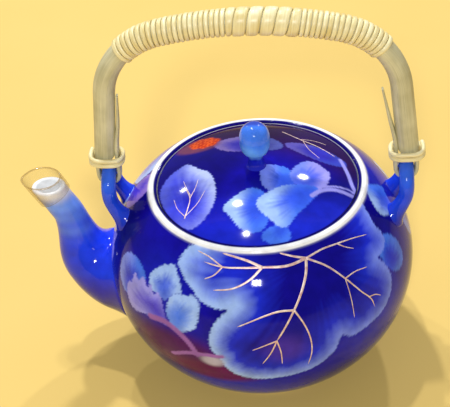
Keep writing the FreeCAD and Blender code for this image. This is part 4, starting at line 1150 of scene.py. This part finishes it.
def on_lid(flat):
    """Points of the lid's dome, part of a sphere, and the way out, for places in plan."""
    rise = np.sqrt(LID_ARC**2 - np.sum(flat**2, axis=1))[:, None]
    line = concatenate((flat, rise + LID_TOP - LID_ARC), axis=1)
    return line, concatenate((flat, rise), axis=1) / LID_ARC


def make_veins(finish):
    """Gilt veins, each a low bead along a smooth line on the pot or the lid."""
    beads = {"pot": [], "lid": []}
    for hub, depth, veins in POT_VEINS:
        for route, *widths in veins:
            line, out = on_pot(line_through(route, VEIN_POINTS), hub, depth)
            beads["pot"].append(gilt_bead(line, out, *widths))
    for route, *widths in LID_VEINS:
        line, out = on_lid(line_through(route, VEIN_POINTS))
        beads["lid"].append(gilt_bead(line, out, *widths))
    for body, skins in beads.items():
        make_piece("gilt_veins_" + body, skins, body, finish)


# lamps: the way to each from the pot's middle, size in metres and power
LAMPS = (
    ("lamp_left", (-0.476, 0.658, 0.583), 0.035, 3.0),
    ("lamp_middle", (-0.174, 0.453, 0.874), 0.07, 7.6),
    ("lamp_right", (0.224, 0.713, 0.664), 0.06, 4.9),
    ("lamp_top", (-0.116, 0.154, 0.981), 0.05, 5.8),
    ("lamp_front", (-0.02, -0.80, 0.60), 0.16, 11.0),
)
LAMP_DISTANCE = 1.5
LAMP_TARGET = array((0.0, 0.0, 0.09))
CAMERA_SPOT = array((31.6, -437.15, 431.02))
CAMERA_TARGET = array((-15.14, -1.07, 82.82))
CAMERA_ROLL = radians(-4.845)


def aim_at(thing, spot, target, roll):
    """Places a lamp or camera at spot, looking at target, turned by roll about its line of sight."""
    back = unit(spot - target)
    level = unit(np.cross(UPWARD, back))
    upright = np.cross(back, level)
    right = level * cos(roll) + upright * sin(roll)
    up = np.cross(back, right)
    thing.matrix_world = Matrix(np.column_stack((right, up, back)).tolist()).to_4x4()
    thing.location = spot


def make_floor():
    """A plain pale floor."""
    floor = bpy.data.meshes.new("floor")
    floor.from_pydata([(-4, -4, 0), (4, -4, 0), (4, 4, 0), (-4, 4, 0)], [], [(0, 1, 2, 3)])
    finish, shader = new_finish("pale_straw_cloth")
    weave = noise(finish, add_node(finish, "TexCoord", "Object"), 9.0)
    straw = tone(finish, weave, 0.0, ink(231, 196, 106), 1.0, ink(237, 204, 118))
    fill(shader, {"Base Color": straw, "Roughness": 0.75})
    floor.materials.append(finish)
    ground = bpy.data.objects.new("floor", floor)
    bpy.context.collection.objects.link(ground)
    ground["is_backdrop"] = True


def make_lights():
    """Faint daylight all round, and soft lamps placed where the glaze shows its highlights."""
    world = bpy.data.worlds.new("room")
    world.use_nodes = True
    fill(world.node_tree.nodes["Background"], {"Color": (0.95, 0.97, 1.0, 1.0), "Strength": 0.24})
    bpy.context.scene.world = world
    for name, way, size, power in LAMPS:
        lamp = bpy.data.lights.new(name, "AREA")
        lamp.size = size
        lamp.energy = power
        spot = bpy.data.objects.new(name, lamp)
        aim_at(spot, unit(array(way)) * LAMP_DISTANCE + LAMP_TARGET, LAMP_TARGET, 0.0)
        bpy.context.collection.objects.link(spot)


def make_camera():
    """The camera, where the photograph was taken from."""
    camera = bpy.data.cameras.new("camera")
    camera.sensor_fit = "HORIZONTAL"
    camera.sensor_width = 36.0
    camera.lens = 98.894
    eye = bpy.data.objects.new("camera", camera)
    aim_at(eye, CAMERA_SPOT * MM, CAMERA_TARGET * MM, CAMERA_ROLL)
    bpy.context.collection.objects.link(eye)
    bpy.context.scene.camera = eye


def main():
    """Makes the stage and every piece."""
    bpy.context.scene.view_settings.view_transform = "Standard"
    make_floor()
    make_lights()
    make_camera()
    glaze = glaze_finish("cobalt_under_glaze", 0.16)
    bright_glaze = glaze_finish("cobalt_under_glaze_bright", 0.42)
    gilt = gilt_finish()
    cane = cane_finish("peeled_cane", ink(182, 176, 136), ink(220, 214, 176), 1.7, 0.42)
    split = cane_finish("split_cane_skin", ink(224, 202, 130), ink(255, 246, 200), 1.5, 0.34)
    make_pot(glaze)
    make_lid(glaze)
    make_knob(bright_glaze)
    make_spout(bright_glaze)
    for place, side in SIDES:
        make_lug(place, side, bright_glaze)
    make_cane(cane)
    for place, side in SIDES:
        make_hook(place, side, cane)
    first = 0
    for place, turns in (("spout_side", FRONT_TURNS), ("middle", BAND_TURNS), ("back", BACK_TURNS)):
        make_winding(place, first, first + turns, split)
        first += turns
    for place, side in SIDES:
        make_collar(place, side, split)
    make_guard(clear_finish())
    make_veins(gilt)
    {"cad": array(CAD_BOX).tolist(), "visual": array(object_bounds()).tolist()}


main()
